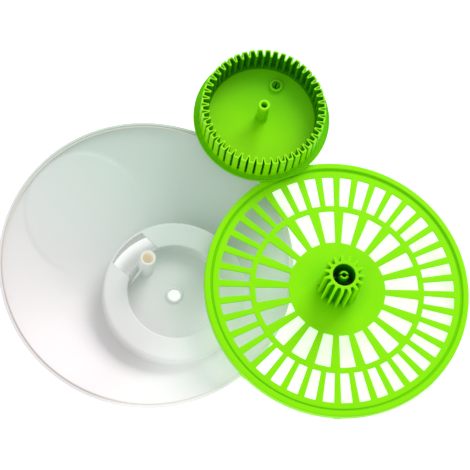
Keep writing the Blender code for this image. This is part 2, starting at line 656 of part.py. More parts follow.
# ----------------------------------------------------------------- lay-out
def ring_points(matrix, radius, height, count=240):
    """World points, in mm, of a ring on a laid-out piece."""
    points = []
    for x, y in circle(radius, count):
        points.append((matrix @ Vector((x * MM, y * MM, height * MM))) / MM)
    return points


def drop_to_rest(matrix, up, reach, face, supports, gap):
    """Lift or lower a piece so that its lower face clears the supports and the table by gap.

    face is the height of that face in the piece's own frame, supports are
    world points that count where they lie under the piece's reach.
    """
    inverse = matrix.inverted()
    lift = -1e9
    for point in supports:
        own = (inverse @ (point * MM)) / MM
        if math.hypot(own.x, own.y) > reach:
            continue
        below = (own.z - face) * (inverse.to_3x3() @ up).z
        lift = max(lift, below / up.z)
    for x, y, z in ring_points(matrix, reach, face):
        lift = max(lift, -z)
    return Matrix.Translation((0, 0, (lift + gap) * MM)) @ matrix


def place_lid():
    """The lid on its back, leaning on the edge of its well."""
    up = leaning(Vector((math.cos(LID_LEAN_DIRECTION), math.sin(LID_LEAN_DIRECTION))) * math.sin(LID_LEAN))
    matrix = laid_out(Vector((0, 0, 0)), up, WELL_DIRECTION, upside_down=True)
    island = circle(ISLAND_INNER_RADIUS + LID_WALL, 120, (WELL_OFFSET, 0))
    feet = [(x, y, ISLAND_FLOOR + LID_WALL) for x, y in island]
    for x, y in circle(WELL_INNER_RADIUS, 120, (WELL_OFFSET, 0)) + circle(WELL_OUTER_RADIUS, 120, (WELL_OFFSET, 0)):
        feet.append((x, y, dome_height(math.hypot(x, y))))
    lowest = min((matrix @ (Vector(foot) * MM)).z for foot in feet)
    return Matrix.Translation((0, 0, -lowest + TOUCH_GAP * MM)) @ matrix


def place_plate(lid_place):
    """The plate, pinion up, with its skirt on the lid's rim and on the table."""
    up = leaning(PLATE_LEAN)
    matrix = laid_out(PLATE_OFFSET.to_3d(), up, PLATE_TURN)
    rim = ring_points(lid_place, LID_RADIUS, 0.0)
    return drop_to_rest(matrix, up, PLATE_RADIUS + RUN_GAP, -PLATE_SKIRT - NUB_DROP, rim, RUN_GAP)


def place_wheel(lid_place, plate_place):
    """The crank wheel, underside up, on the lid's rim and the plate's lip."""
    up = leaning(WHEEL_LEAN)
    matrix = laid_out(WHEEL_OFFSET.to_3d(), up, CRANK_DIRECTION, upside_down=True)
    supports = ring_points(lid_place, LID_RADIUS, 0.0) + ring_points(plate_place, PLATE_RADIUS, PLATE_LIP)
    return drop_to_rest(matrix, up, WHEEL_RADIUS + RUN_GAP, WHEEL_DISC, supports, RUN_GAP)


def centre_on_origin(roots):
    """Move the whole lay-out so that its box stands centred on the origin."""
    bpy.context.view_layer.update()
    depsgraph = bpy.context.evaluated_depsgraph_get()
    corners = []
    for thing in bpy.data.objects:
        if thing.type != "MESH" or thing.hide_render:
            continue
        seen = thing.evaluated_get(depsgraph)
        corners += [seen.matrix_world @ vertex.co for vertex in seen.data.vertices]
    low = Vector([min(corner[axis] for corner in corners) for axis in range(3)])
    high = Vector([max(corner[axis] for corner in corners) for axis in range(3)])
    shift = -Vector(((low.x + high.x) / 2, (low.y + high.y) / 2, low.z))
    for root in roots:
        root.matrix_local = Matrix.Translation(shift) @ root.matrix_local
    bpy.context.view_layer.update()


def main():
    clear_scene()
    white = material("white_plastic", (0.86, 0.88, 0.87), 0.32)
    clear = material("clear_plastic", (0.88, 0.92, 0.92), 0.08)
    lime = material("lime_plastic", (0.25, 0.80, 0.0), 0.38)
    green = material("green_plastic", (0.13, 0.60, 0.0), 0.40)
    grey = material("grey_elastomer", (0.55, 0.57, 0.56), 0.75)
    steel = material("steel", (0.62, 0.62, 0.60), 0.28, 1.0)

    lid_place = place_lid()
    plate_place = place_plate(lid_place)
    wheel_place = place_wheel(lid_place, plate_place)
    bowl_y = (WHEEL_OFFSET.y + WHEEL_RADIUS + BOWL_SPACE + BOWL_RADIUS) * MM
    bowl_place = Matrix.Translation((0, bowl_y, 0))

    lid_home = empty("lid_home", lid_place)
    plate_home = empty("plate_home", plate_place)
    wheel_home = empty("wheel_home", wheel_place)
    knob_home = empty("knob_home", Matrix.Translation((CRANK_RADIUS * MM, 0, WHEEL_DISC * MM)), wheel_home)
    bowl_home = empty("bowl_home", bowl_place)

    make_lid(lid_home, white)
    make_crank_wheel(wheel_home, green)
    make_knob(knob_home, green, green, white)
    make_drive_plate(plate_home, lime)
    make_pinion(plate_home, lime)
    make_snap_pin(plate_home, lime)
    make_bowl(bowl_home, clear, grey, steel)
    make_basket(bowl_home, lime, white)
    centre_on_origin([lid_home, plate_home, wheel_home, bowl_home])

    for home in (lid_home, plate_home, wheel_home, knob_home, bowl_home):
        axis = home.matrix_world.to_3x3() @ Vector((0, 0, 1))
        print(home.name, "at", [round(v, 6) for v in home.matrix_world.translation],
              "axis", [round(v, 6) for v in axis])


main()
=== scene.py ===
# %% [markdown]
# # A salad spinner, taken apart on a white table
#
# The spinner is a handful of moulded plastic pieces. This lesson gives each one
# its real surface: rounded moulded edges, wall thickness, gear teeth and slots.
# Every piece is drawn in millimetres about its own turning axis, and is then
# put where the mechanical model says its axis stands.

# %% Load the mechanical model
import json
import math

import bmesh
import bpy
from mathutils import Matrix, Vector


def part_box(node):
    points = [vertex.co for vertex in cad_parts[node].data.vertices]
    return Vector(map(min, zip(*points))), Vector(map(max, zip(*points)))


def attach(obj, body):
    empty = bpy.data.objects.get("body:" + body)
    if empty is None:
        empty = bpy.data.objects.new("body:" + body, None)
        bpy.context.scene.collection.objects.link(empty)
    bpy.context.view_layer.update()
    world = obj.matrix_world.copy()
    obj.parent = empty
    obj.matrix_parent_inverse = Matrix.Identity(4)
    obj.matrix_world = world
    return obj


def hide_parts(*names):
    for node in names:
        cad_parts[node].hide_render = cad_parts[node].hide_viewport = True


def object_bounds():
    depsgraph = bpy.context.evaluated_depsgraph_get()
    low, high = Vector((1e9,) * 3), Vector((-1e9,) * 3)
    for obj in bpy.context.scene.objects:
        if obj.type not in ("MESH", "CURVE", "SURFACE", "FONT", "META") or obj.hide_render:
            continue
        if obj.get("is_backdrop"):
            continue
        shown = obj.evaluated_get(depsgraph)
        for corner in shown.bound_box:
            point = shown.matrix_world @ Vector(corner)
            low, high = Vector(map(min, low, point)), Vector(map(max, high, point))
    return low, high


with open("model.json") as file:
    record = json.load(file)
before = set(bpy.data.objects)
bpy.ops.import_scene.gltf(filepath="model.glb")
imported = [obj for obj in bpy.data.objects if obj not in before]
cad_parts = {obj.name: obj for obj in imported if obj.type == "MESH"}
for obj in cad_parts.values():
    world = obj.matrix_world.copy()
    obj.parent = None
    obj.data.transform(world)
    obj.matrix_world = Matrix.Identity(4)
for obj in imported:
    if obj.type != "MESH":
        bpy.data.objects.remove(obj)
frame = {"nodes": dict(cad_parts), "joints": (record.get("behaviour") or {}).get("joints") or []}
cad_low, cad_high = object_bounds()
MM = 0.001

# %% [markdown]
# ## Sizes
# These are the sizes that the moulds share, in millimetres. Repeating them here
# lets us round, thin and split the pieces without measuring triangles. Only the
# places of the pieces come from the mechanical model itself.

# %% Sizes that several pieces share
LID_RADIUS = 130.0
DISH_EDGE = 125.6        # where the lid's inside meets its rim
DISH_WALL = 2.2
WELL_WALL = 1.8
DOME_DEPTH = 33.0
LID_SKIRT = 4.0
GROOVE_FLOOR = 6.0
ISLAND_FLOOR = 19.0
ISLAND_RADIUS = 41.8
REST_DISTANCE = 73.0
REST_RADIUS = 54.0
RING_TEETH = 48
PINION_TEETH = 15
MODULE = 2.1
CRANK = 33.0             # from the wheel's axis to the knob's
WELL_OFFSET = MODULE * (RING_TEETH - PINION_TEETH) / 2
RING_TIP = MODULE * (RING_TEETH / 2 - 1)
RING_ROOT = MODULE * (RING_TEETH / 2 + 1.6)
RING_WALL = 1.7
PINION_TIP = MODULE * (PINION_TEETH / 2 + 1.05)
PINION_ROOT = MODULE * (PINION_TEETH / 2 - 1.35)
WHEEL_RADIUS = RING_ROOT + RING_WALL + 5.3
WELL_INNER = WHEEL_RADIUS + 0.5
WELL_OUTER = WELL_INNER + WELL_WALL
PLATE_RADIUS = 117.3
PLATE_HUB = 43.0         # the closed middle of the plate
print("ring gear and pinion are", round(WELL_OFFSET, 2), "mm apart")

# %% [markdown]
# ## Where the pieces stand
# Each turning piece has a joint, and a joint has a place and an axis. That
# gives all of them except the lid, which lifts straight up. The lid's flat rim
# tells the rest: the middle of that ring of faces is the lid's own zero point.

# %% Places of the pieces
joints = {joint["name"]: joint for joint in frame["joints"]}


def standing(origin, axis, ahead):
    """Matrix of a piece whose own z runs along axis and whose own x looks ahead."""
    axis = Vector(axis).normalized()
    ahead = Vector(ahead)
    ahead = (ahead - axis * ahead.dot(axis)).normalized()
    turned_axes = Matrix((ahead, axis.cross(ahead), axis)).transposed().to_4x4()
    return Matrix.Translation(origin) @ turned_axes


def compass(degrees):
    """A level direction, counted from world x."""
    return Vector((math.cos(math.radians(degrees)), math.sin(math.radians(degrees)), 0))


def joint_place(name):
    """Place and axis of a joint."""
    return Vector(joints[name]["pos_m"]), Vector(joints[name]["axis"])


WELL_BEARING = -42.0     # from the lid's middle to the well's, in degrees
PLATE_BEARING = -0.4     # to the plate's first bar
wheel_at, wheel_axis = joint_place("wheel_spin")
plate_at, plate_axis = joint_place("plate_spin")
knob_at, knob_axis = joint_place("knob_spin")
bowl_at = joint_place("basket_spin")[0]
wheel_place = standing(wheel_at, wheel_axis, knob_at - wheel_at)
knob_place = standing(knob_at, knob_axis, knob_at - wheel_at)
plate_place = standing(plate_at, plate_axis, compass(PLATE_BEARING))
bowl_place = Matrix.Translation((bowl_at.x, bowl_at.y, cad_low.z))

NEAR_RIM = 0.94          # share of the lid's radius
FACES_UP = 0.95
lid_low, lid_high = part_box("lid")
lid_middle = (lid_low + lid_high) / 2
rim_normal = Vector()
rim_centre = Vector()
rim_area = 0.0
for face in frame["nodes"]["lid"].data.polygons:
    away = (face.center - lid_middle).to_2d().length
    if away > NEAR_RIM * LID_RADIUS * MM and face.normal.z > FACES_UP:
        rim_normal += face.normal * face.area
        rim_centre += face.center * face.area
        rim_area += face.area
rim_centre /= rim_area
lid_place = standing(rim_centre, -rim_normal, compass(WELL_BEARING))
print("lid's zero point:", [round(value, 4) for value in rim_centre])

# %% [markdown]
# ## Outlines with rounded corners
# A moulded piece never has a knife edge. So we draw a few corner points, say
# how round each one is, and let one small helper put an arc in each corner. A
# Bevel modifier could do it later, but a drawn arc stays the same all round.

# %% Rounding corners


def rounded(corners, steps=4, closed=True):
    """Replace each (point, radius) corner by an arc of steps + 1 points; works in 2D and 3D."""
    smooth = []
    count = len(corners)
    for here, (point, radius) in enumerate(corners):
        point = Vector(point)
        at_end = not closed and here in (0, count - 1)
        if radius <= 0 or at_end:
            smooth.append(point)
            continue
        back = Vector(corners[here - 1][0]) - point
        ahead = Vector(corners[(here + 1) % count][0]) - point
        half = back.angle(ahead) / 2
        room = 0.48 * min(back.length, ahead.length)
        setback = min(radius / max(math.tan(half), 1e-6), room)
        start = point + back.normalized() * setback
        end = point + ahead.normalized() * setback
        for step in range(steps + 1):
            share = step / steps
            blend = 2 * share * (1 - share)
            smooth.append(start * (1 - share) ** 2 + point * blend + end * share ** 2)
    return smooth


def flat_profile(corners, steps=4, closed=True):
    """Rounded (radius, height) outline from (radius, height, roundness) corners."""
    return rounded([((radius, height), round_by) for radius, height, round_by in corners], steps, closed)


print("a rounded square has", len(flat_profile([(0, 0, 1), (9, 0, 1), (9, 9, 1), (0, 9, 1)])), "points")

# %% [markdown]
# ## From outlines to meshes
# Nearly every piece is a ring of outlines joined by four-sided faces: a turned
# post, a gear, even the lid. One helper joins a list of equal outlines, and the
# others only decide where the points go.

# %% Mesh helpers
SHARP_EDGE = 40.0        # degrees; shading breaks at edges sharper than this


def woven(bm, loops, close_rows=True):
    """Join equally long loops of points by quads; a loop of one point is a pole."""
    grid = [[bm.verts.new(point) for point in loop] for loop in loops]
    pairs = list(zip(grid, grid[1:]))
    if close_rows:
        pairs.append((grid[-1], grid[0]))
    for low, high in pairs:
        length = max(len(low), len(high))
        for step in range(length):
            after = (step + 1) % length
            corners = [low[step % len(low)], low[after % len(low)]]
            corners += [high[after % len(high)], high[step % len(high)]]
            corners = list(dict.fromkeys(corners))
            if len(corners) > 2:
                bm.faces.new(corners)
    return grid


def ring_of(radius, height, segments, centre=(0.0, 0.0)):
    """One loop of points about z, or one point on the axis."""
    if radius < 1e-5:
        return [Vector((centre[0], centre[1], height))]
    loop = []
    for step in range(segments):
        angle = math.tau * step / segments
        x = centre[0] + radius * math.cos(angle)
        y = centre[1] + radius * math.sin(angle)
        loop.append(Vector((x, y, height)))
    return loop


def spin(bm, profile, segments=128, centre=(0.0, 0.0)):
    """Turn a closed outline of (radius, height) points about z."""
    loops = [ring_of(radius, height, segments, centre) for radius, height in profile]
    return woven(bm, loops)


def mark_own_place(mesh, place):
    """Write down, at every point of a mesh, where it lies in the piece's own frame."""
    mark = mesh.attributes.get("own_place") or mesh.attributes.new("own_place", "FLOAT_VECTOR", "POINT")
    back = place.inverted()
    for point, note in zip(mesh.vertices, mark.data):
        note.vector = back @ point.co


def surfaced(mesh, place, sharp):
    """Smooth shading that breaks at edges sharper than sharp degrees, and each point's own place."""
    mesh.shade_smooth()
    mesh.set_sharp_from_angle(angle=math.radians(sharp))
    mark_own_place(mesh, place)


def placed_object(name, bm, place):
    """Turn a bmesh in millimetres into an object that stands at its place."""
    bmesh.ops.recalc_face_normals(bm, faces=bm.faces)
    bmesh.ops.transform(bm, matrix=place @ Matrix.Scale(MM, 4), verts=bm.verts)
    mesh = bpy.data.meshes.new(name)
    bm.to_mesh(mesh)
    bm.free()
    thing = bpy.data.objects.new(name, mesh)
    bpy.context.scene.collection.objects.link(thing)
    return thing


def finished(name, bm, place, body, stands_for, sharp=SHARP_EDGE):
    """Make a piece of the model, which rides on a body and stands for some of its nodes."""
    piece = placed_object(name, bm, place)
    surfaced(piece.data, place, sharp)
    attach(piece, body)
    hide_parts(*stands_for)
    print(name, len(piece.data.polygons), "faces")
    return piece


def carve(piece, cutter_bm, place):
    """Cut a shape in millimetres out of a piece, and keep only the result."""
    cutter = placed_object("cutter", cutter_bm, place)
    cutter_mesh = cutter.data
    step = piece.modifiers.new("carve", "BOOLEAN")
    step.operation = "DIFFERENCE"
    step.solver = "EXACT"
    step.object = cutter
    bpy.context.view_layer.update()
    cut_piece = piece.evaluated_get(bpy.context.evaluated_depsgraph_get())
    shaped = bpy.data.meshes.new_from_object(cut_piece)
    piece.modifiers.clear()
    old = piece.data
    piece.data = shaped
    bpy.data.meshes.remove(old)
    bpy.data.objects.remove(cutter, do_unlink=True)
    bpy.data.meshes.remove(cutter_mesh)
    surfaced(piece.data, place, SHARP_EDGE)
    print("carved", piece.name, len(piece.data.polygons), "faces")


def box_bm(low, high):
    """A plain box between two corners, used as a cutter."""
    bm = bmesh.new()
    bmesh.ops.create_cube(bm, size=1.0)
    size = Vector(high) - Vector(low)
    middle = (Vector(high) + Vector(low)) / 2
    stretch = Matrix.Translation(middle) @ Matrix.Diagonal((*size, 1.0))
    bmesh.ops.transform(bm, matrix=stretch, verts=bm.verts)
    return bm


def rod_bm(radius, low, high, segments=64, centre=(0.0, 0.0)):
    """A plain rod along z, used as a cutter."""
    bm = bmesh.new()
    spin(bm, [(0, low), (radius, low), (radius, high), (0, high)], segments, centre)
    return bm


def add_bevelled_prism(bm, outline, thickness, edge=0.3):
    """A prism from points in the plane x = 0, thickness wide about it, with eased edges."""
    own = bmesh.new()
    front = [own.verts.new((-thickness / 2, y, z)) for y, z in outline]
    raised = bmesh.ops.extrude_face_region(own, geom=[own.faces.new(front)])["geom"]
    moved = [made for made in raised if isinstance(made, bmesh.types.BMVert)]
    bmesh.ops.translate(own, verts=moved, vec=(thickness, 0, 0))
    bmesh.ops.bevel(own, geom=own.edges[:], offset=edge, segments=3, profile=0.5, affect="EDGES")
    scratch = bpy.data.meshes.new("scratch")
    own.to_mesh(scratch)
    own.free()
    bm.from_mesh(scratch)
    bpy.data.meshes.remove(scratch)


print("mesh helpers ready")

# %% [markdown]
# ## Shader maths
# A finish is a small sum: a base colour, a little cloudiness, hairline
# scratches. Written as nodes that takes pages, so one small class lets a socket
# be added, taken away and multiplied like a number. Everything else goes
# through one method that makes a node.

# %% Sockets that can be added and multiplied


class Wire:
    """A socket of a finish that understands plain arithmetic."""

    def __init__(self, finish, socket):
        self.finish = finish
        self.socket = socket

    def maths(self, operation, first, second):
        return self.finish.node("ShaderNodeMath", {"operation": operation}, {0: first, 1: second})

    def __add__(self, other):
        return self.maths("ADD", self, other)

    def __radd__(self, other):
        return self.maths("ADD", other, self)

    def __sub__(self, other):
        return self.maths("SUBTRACT", self, other)

    def __rsub__(self, other):
        return self.maths("SUBTRACT", other, self)

    def __mul__(self, other):
        return self.maths("MULTIPLY", self, other)

    def __rmul__(self, other):
        return self.maths("MULTIPLY", other, self)

    def __pow__(self, other):
        return self.maths("POWER", self, other)


class Finish:
    """One material while its nodes are being wired."""

    def __init__(self, name, colour, **constants):
        self.material = bpy.data.materials.new(name)
        self.material.use_nodes = True
        self.tree = self.material.node_tree
        self.shader = self.tree.nodes["Principled BSDF"]
        self.material.diffuse_color = (*colour, 1.0)
        self.colour = (*colour, 1.0)
        for socket, value in constants.items():
            self.shader.inputs[socket.replace("_", " ")].default_value = value

    def node(self, kind, settings, sockets, output=0):
        """Make a node: its settings first, then the values or links of its sockets."""
        made = self.tree.nodes.new(kind)
        for setting, value in settings.items():
            setattr(made, setting, value)
        for socket, value in sockets.items():
            if isinstance(value, Wire):
                self.tree.links.new(value.socket, made.inputs[socket])
            else:
                made.inputs[socket].default_value = value
        return Wire(self, made.outputs[output])

    def feed(self, socket, wire):
        """Link a wire to a socket of the shader."""
        self.tree.links.new(wire.socket, self.shader.inputs[socket])

    def blend(self, share, first, second):
        """Mix two colours."""
        return self.node("ShaderNodeMix", {"data_type": "RGBA"}, {0: share, 6: first, 7: second}, output=2)

    def own_place(self):
        """Where a point lies in the piece's own frame, in metres."""
        return self.node("ShaderNodeAttribute", {"attribute_name": "own_place"}, {}, output="Vector")

    def grain(self, scale, detail=2.0, stretch=None):
        """Soft noise from 0 to 1 in the piece's own space; scale counts lumps per metre."""
        where = self.own_place()
        if stretch:
            where = self.node("ShaderNodeMapping", {}, {"Vector": where, "Scale": stretch})
        return self.node("ShaderNodeTexNoise", {}, {"Vector": where, "Scale": scale, "Detail": detail})

    def between(self, value, low, high):
        """0 below low, 1 above high, and a soft step in between."""
        return self.node("ShaderNodeMapRange", {"interpolation_type": "SMOOTHSTEP"},
                         {"Value": value, "From Min": low, "From Max": high})

    def band(self, value, rise, fall):
        """1 between two values and 0 outside them; rise and fall are (start, end) of the soft steps."""
        return self.between(value, *rise) * (1 - self.between(value, *fall))


trial = Finish("trial", (0.5, 0.5, 0.5))
print("1 - grain makes a", type(1 - trial.grain(10)).__name__)
bpy.data.materials.remove(trial.material)

# %% [markdown]
# ## Moulded plastic
# Injection-moulded polypropylene looks even from afar. Close up its colour is a
# little cloudy, the mould leaves a very fine grain, and handling leaves hairline
# scratches that only show where the gloss breaks. One recipe gives all of that;
# each colour then adds its own shading.

# %% The recipe for moulded plastic


def moulded(finish, cloud_colour, roughness, cloud=0.5, grain_depth=0.06):
    """Cloudy colour, scratched gloss and fine mould grain; returns the colour for more work."""
    clouds = finish.between(finish.grain(38, 3), 0.35, 0.7) * cloud
    colour = finish.blend(clouds, finish.colour, (*cloud_colour, 1.0))
    long_way = finish.between(finish.grain(150, 4, (1.0, 22.0, 1.0)), 0.66, 0.72)
    cross_way = finish.between(finish.grain(140, 4, (19.0, 1.0, 1.0)), 0.67, 0.73)
    scratches = long_way * 0.10 + cross_way * 0.08
    matting = finish.grain(900, 2) * 0.10
    finish.feed("Roughness", scratches + matting + (roughness - 0.05))
    fine = finish.grain(2600, 2) * 0.7 + finish.grain(220, 2) * 0.3 - scratches * 1.5
    bump = finish.node("ShaderNodeBump", {}, {"Strength": grain_depth, "Distance": 0.0004, "Height": fine})
    finish.feed("Normal", bump)
    return colour


def own_axis(finish, letter):
    """One of the three measures of a point in the piece's own frame, in metres."""
    return finish.node("ShaderNodeSeparateXYZ", {}, {"Vector": finish.own_place()}, output=letter)


def own_radius(finish, centre=0.0):
    """Distance from the piece's own axis, or from an axis beside it along x, in metres."""
    along = own_axis(finish, "X") - centre
    across = own_axis(finish, "Y")
    return (along * along + across * across) ** 0.5


def own_height(finish):
    """Height in the piece's own frame, in metres."""
    return own_axis(finish, "Z")


print("recipe ready")

# %% [markdown]
# ## The four plastics
# White for the lid, a yellow-green for everything that touches the salad, a
# deeper green for the crank wheel, and clear for the bowl. Painted highlights
# lighten the tops of thin walls, and painted shade keeps the deep gaps between
# teeth dark: masks made from the piece's own radius and height give that.

# %% [markdown]
# White polypropylene is not one white either. A slow ramp across the dish paints
# shade in a cool, faintly minty grey on the far side and painted light in a warm
# rose on the near side. The tube's bore gets painted light in a creamy tone, and
# the groove in the rim gets a line of painted shade. The plastic also glows a
# little by itself: painted light that lifts the shade under the plate, most of
# all on the side away from the hand rest.

# %% White plastic
BORE_LIGHT = (0.92, 0.74, 0.52, 1.0)
SHADED_MINT = (0.48, 0.565, 0.515, 1.0)
LIT_ROSE = (0.745, 0.63, 0.68, 1.0)
RIM_SHADE = (0.60, 0.53, 0.44, 1.0)
SHADE = (0.50, 0.45, 0.38, 1.0)
# Emission_Strength sets the painted glow of the lid.
white = Finish("white_plastic", (0.61, 0.615, 0.61), IOR=1.49, Specular_IOR_Level=0.4, Emission_Strength=0.24)
white_colour = moulded(white, (0.585, 0.595, 0.59), 0.34)
inside_well = 1 - white.between(own_radius(white, WELL_OFFSET * MM), 0.0618, 0.0624)
tube_inside = 1 - white.between(own_radius(white), 0.0050, 0.0056)
# Painted light: the bore of the tube is lightened to a creamy tone.
white_colour = white.blend(tube_inside * 0.75, white_colour, BORE_LIGHT)
# Painted shade and light: a ramp from a shaded minty grey on the far side to a lit rose on the near side.
painted_light_ramp = white.between(own_axis(white, "Y"), -0.075, 0.125)
white_colour = white.blend(0.7, white_colour, white.blend(painted_light_ramp, SHADED_MINT, LIT_ROSE))
# Painted shade: a dark line along the groove of the rim.
painted_rim_shade = white.band(own_radius(white), (0.1250, 0.1258), (0.1272, 0.1279))
white_colour = white.blend(painted_rim_shade * 0.45, white_colour, RIM_SHADE)
notch_wall = 1 - white.between(own_axis(white, "X"), -0.0262, -0.0225)
white_colour = white.blend(notch_wall * inside_well * 0.25, white_colour, SHADE)
white.feed("Base Color", white_colour)
print("made", white.material.name)

# %% [markdown]
# The glow is painted light, fed apart from the colour. It is weak over the hand
# rest, four times as strong on the side away from it, and warm in the bore of the tube.

# %% Painted glow of the white lid
PAINTED_LIGHT_SPAN = (0.035, 0.085)      # from the lid's middle towards the well, in metres
# Painted light: the white plastic glows, four times as much away from the hand rest, and warm in the bore.
painted_light_side = white.between(own_axis(white, "X"), *PAINTED_LIGHT_SPAN)
glow = white.blend(painted_light_side, (0.235, 0.25, 0.24, 1.0), (0.90, 1.0, 0.94, 1.0))
white.feed("Emission Color", white.blend(tube_inside, glow, (0.95, 0.80, 0.52, 1.0)))
print("the glow grows between", [round(edge / MM) for edge in PAINTED_LIGHT_SPAN], "mm from the lid's middle")

# %% [markdown]
# The yellow-green has only a weak shine. The plate gets painted shade close to its
# hub and in the groove of its lip. The pinion has the same plastic, but painted
# shade keeps its deep tooth gaps dark.

# %% Lime plastic
LIME = (0.242, 0.725, 0.0)
lime = Finish("lime_plastic", LIME, IOR=1.49, Specular_IOR_Level=0.08)
lime_colour = moulded(lime, (0.21, 0.70, 0.0), 0.33)
hub_shade = 1 - lime.between(own_radius(lime), 0.018, 0.034)
lime_colour = lime.blend(hub_shade * 0.35, lime_colour, (0.12, 0.56, 0.0, 1.0))
# Painted shade: darker in the groove of the plate's lip.
lip_groove_shade = lime.band(own_radius(lime), (0.1088, 0.1104), (0.1120, 0.1128))
lime_colour = lime.blend(lip_groove_shade * 0.55, lime_colour, (0.11, 0.54, 0.0, 1.0))
lime.feed("Base Color", lime_colour)

pinion_lime = Finish("pinion_plastic", LIME, IOR=1.49, Specular_IOR_Level=0.08)
pinion_colour = moulded(pinion_lime, (0.20, 0.70, 0.0), 0.33)
# Painted shade: dark in the pinion's tooth gaps, below its top.
pinion_gap_shade = 1 - pinion_lime.between(own_radius(pinion_lime), 0.0128, 0.0172)
below_top = 1 - pinion_lime.between(own_height(pinion_lime), 0.0355, 0.0366)
pinion_colour = pinion_lime.blend(pinion_gap_shade * below_top, pinion_colour, (0.010, 0.26, 0.0, 1.0))
pinion_lime.feed("Base Color", pinion_colour)
print("made", lime.material.name, "and", pinion_lime.material.name)

# %% [markdown]
# The crank wheel's green is deeper. Painted shade darkens its flange and the side
# near the knob, a painted highlight lightens the tops of the teeth, and the
# darkest painted shade lies in the gaps between the teeth.

# %% Green plastic
green = Finish("green_plastic", (0.27, 0.75, 0.0), IOR=1.49, Specular_IOR_Level=0.08)
green_colour = moulded(green, (0.23, 0.70, 0.0), 0.35)
# Painted shade: darker towards the side near the knob.
knob_side_shade = green.between(own_axis(green, "X"), -0.045, 0.055)
green_colour = green.blend(knob_side_shade * 0.8, green_colour, (0.10, 0.52, 0.0, 1.0))
# Painted shade on the flange of the wheel.
flange_shade = green.between(own_radius(green), 0.0552, 0.0562)
green_colour = green.blend(flange_shade * 0.8, green_colour, (0.115, 0.50, 0.0, 1.0))
# Painted shade: the ring's tooth faces are dark below their tops, so the gaps between teeth look deep.
tooth_gap_shade = green.band(own_radius(green), (0.0470, 0.0478), (0.0541, 0.0548))
low_on_tooth = green.between(own_height(green), -0.0247, -0.0235)
green_colour = green.blend(tooth_gap_shade * low_on_tooth * 0.8, green_colour, (0.012, 0.22, 0.0, 1.0))
# Painted highlight: the tops of the teeth are lighter.
tooth_top_highlight = 1 - green.between(own_height(green), -0.0252, -0.0244)
green_colour = green.blend(tooth_top_highlight * 0.8, green_colour, (0.30, 0.80, 0.01, 1.0))
green.feed("Base Color", green_colour)

# Painted shade: the stem is a darker copy of the green, as it sits deep in the boss.
shaded_stem_green = Finish("stem_plastic_shaded", (0.03, 0.27, 0.0), IOR=1.49, Specular_IOR_Level=0.08)
shaded_stem_green.feed("Base Color", moulded(shaded_stem_green, (0.02, 0.22, 0.0), 0.38))
print("made", green.material.name, "and", shaded_stem_green.material.name)

# %% [markdown]
# ## Clear bowl, soft foot, steel pivot
# The bowl is clear so that the greens can be seen in it: constant clearness,
# with scratches only in its gloss. The foot is a matt elastomer and the pivot
# is turned steel with fine rings round its axis.

# %% Clear plastic, elastomer, white acetal and steel
clear = Finish("clear_plastic", (0.93, 0.96, 0.955), IOR=1.46, Transmission_Weight=1.0)
clear_lines = clear.between(clear.grain(120, 4, (1.0, 1.0, 20.0)), 0.64, 0.72)
clear.feed("Roughness", clear_lines * 0.12 + clear.grain(60, 2) * 0.05 + 0.02)
ripple = {"Strength": 0.02, "Distance": 0.0004, "Height": clear.grain(30, 2)}
clear.feed("Normal", clear.node("ShaderNodeBump", {}, ripple))

soft_grey = Finish("grey_elastomer", (0.50, 0.52, 0.51), IOR=1.5)
soft_grey.feed("Base Color", moulded(soft_grey, (0.42, 0.44, 0.43), 0.78, 0.8, 0.25))

acetal = Finish("white_cap", (0.80, 0.81, 0.79), IOR=1.48, Coat_Weight=0.1, Coat_Roughness=0.2)
acetal.feed("Base Color", moulded(acetal, (0.75, 0.76, 0.73), 0.38))

steel = Finish("steel", (0.62, 0.62, 0.60), Metallic=1.0)
turning = steel.node("ShaderNodeMath", {"operation": "SINE"}, {0: own_height(steel) * 21000.0})
stains = steel.grain(200, 2) * 0.5
steel.feed("Base Color", steel.blend(stains, (0.66, 0.66, 0.64, 1.0), (0.52, 0.52, 0.50, 1.0)))
steel.feed("Roughness", steel.grain(700, 2) * 0.18 + turning * 0.03 + 0.2)
steel_bump = steel.node("ShaderNodeBump", {}, {"Strength": 0.15, "Distance": 0.0001, "Height": turning})
steel.feed("Normal", steel_bump)
print("made the other finishes")

# %% [markdown]
# ## The lid
# The lid is a shallow dome with a round well sunk into it, off centre, where
# the crank wheel runs. It could be cut together from solids, but its dish and
# its well are both circles, one inside the other. So one profile, swept round
# the well's axis, can run from the axle hole over the island, down and up the
# well, out along the dish to the rim and back over the top. Each edge then gets
# its own rounding, and no cut leaves a ragged seam in the curved dish.

# %% Heights of the dish
REST_SLOPE = 2 * DOME_DEPTH * REST_DISTANCE / LID_RADIUS ** 2
REST_HEIGHT = LID_SKIRT + DOME_DEPTH * (1 - (REST_RADIUS ** 2 + REST_DISTANCE ** 2) / LID_RADIUS ** 2)
REST_NORMAL = math.sqrt(1 + REST_SLOPE ** 2)
REST_STEP = 0.8


def soft_least(first, second, width):
    """The smaller of two heights, with the crease between them eased over width."""
    near = max(0.0, 1 - abs(first - second) / width)
    return min(first, second) - near * near * width / 4


def with_rest(height, x, y, inset):
    """Flatten the dome for the hand; the flat's edge is a small step outside and soft beside the well."""
    plane = REST_HEIGHT + REST_SLOPE * (x + REST_DISTANCE) - inset * REST_NORMAL
    softness = min(1.0, max(0.0, (x + 84.0) / 44.0)) ** 1.5
    into = min(1.0, max(0.0, (height - plane) / 0.40))
    step = REST_STEP * (1 - softness) * into * into * (3 - 2 * into)
    return soft_least(height, plane, 0.3 + 5.0 * softness) - step


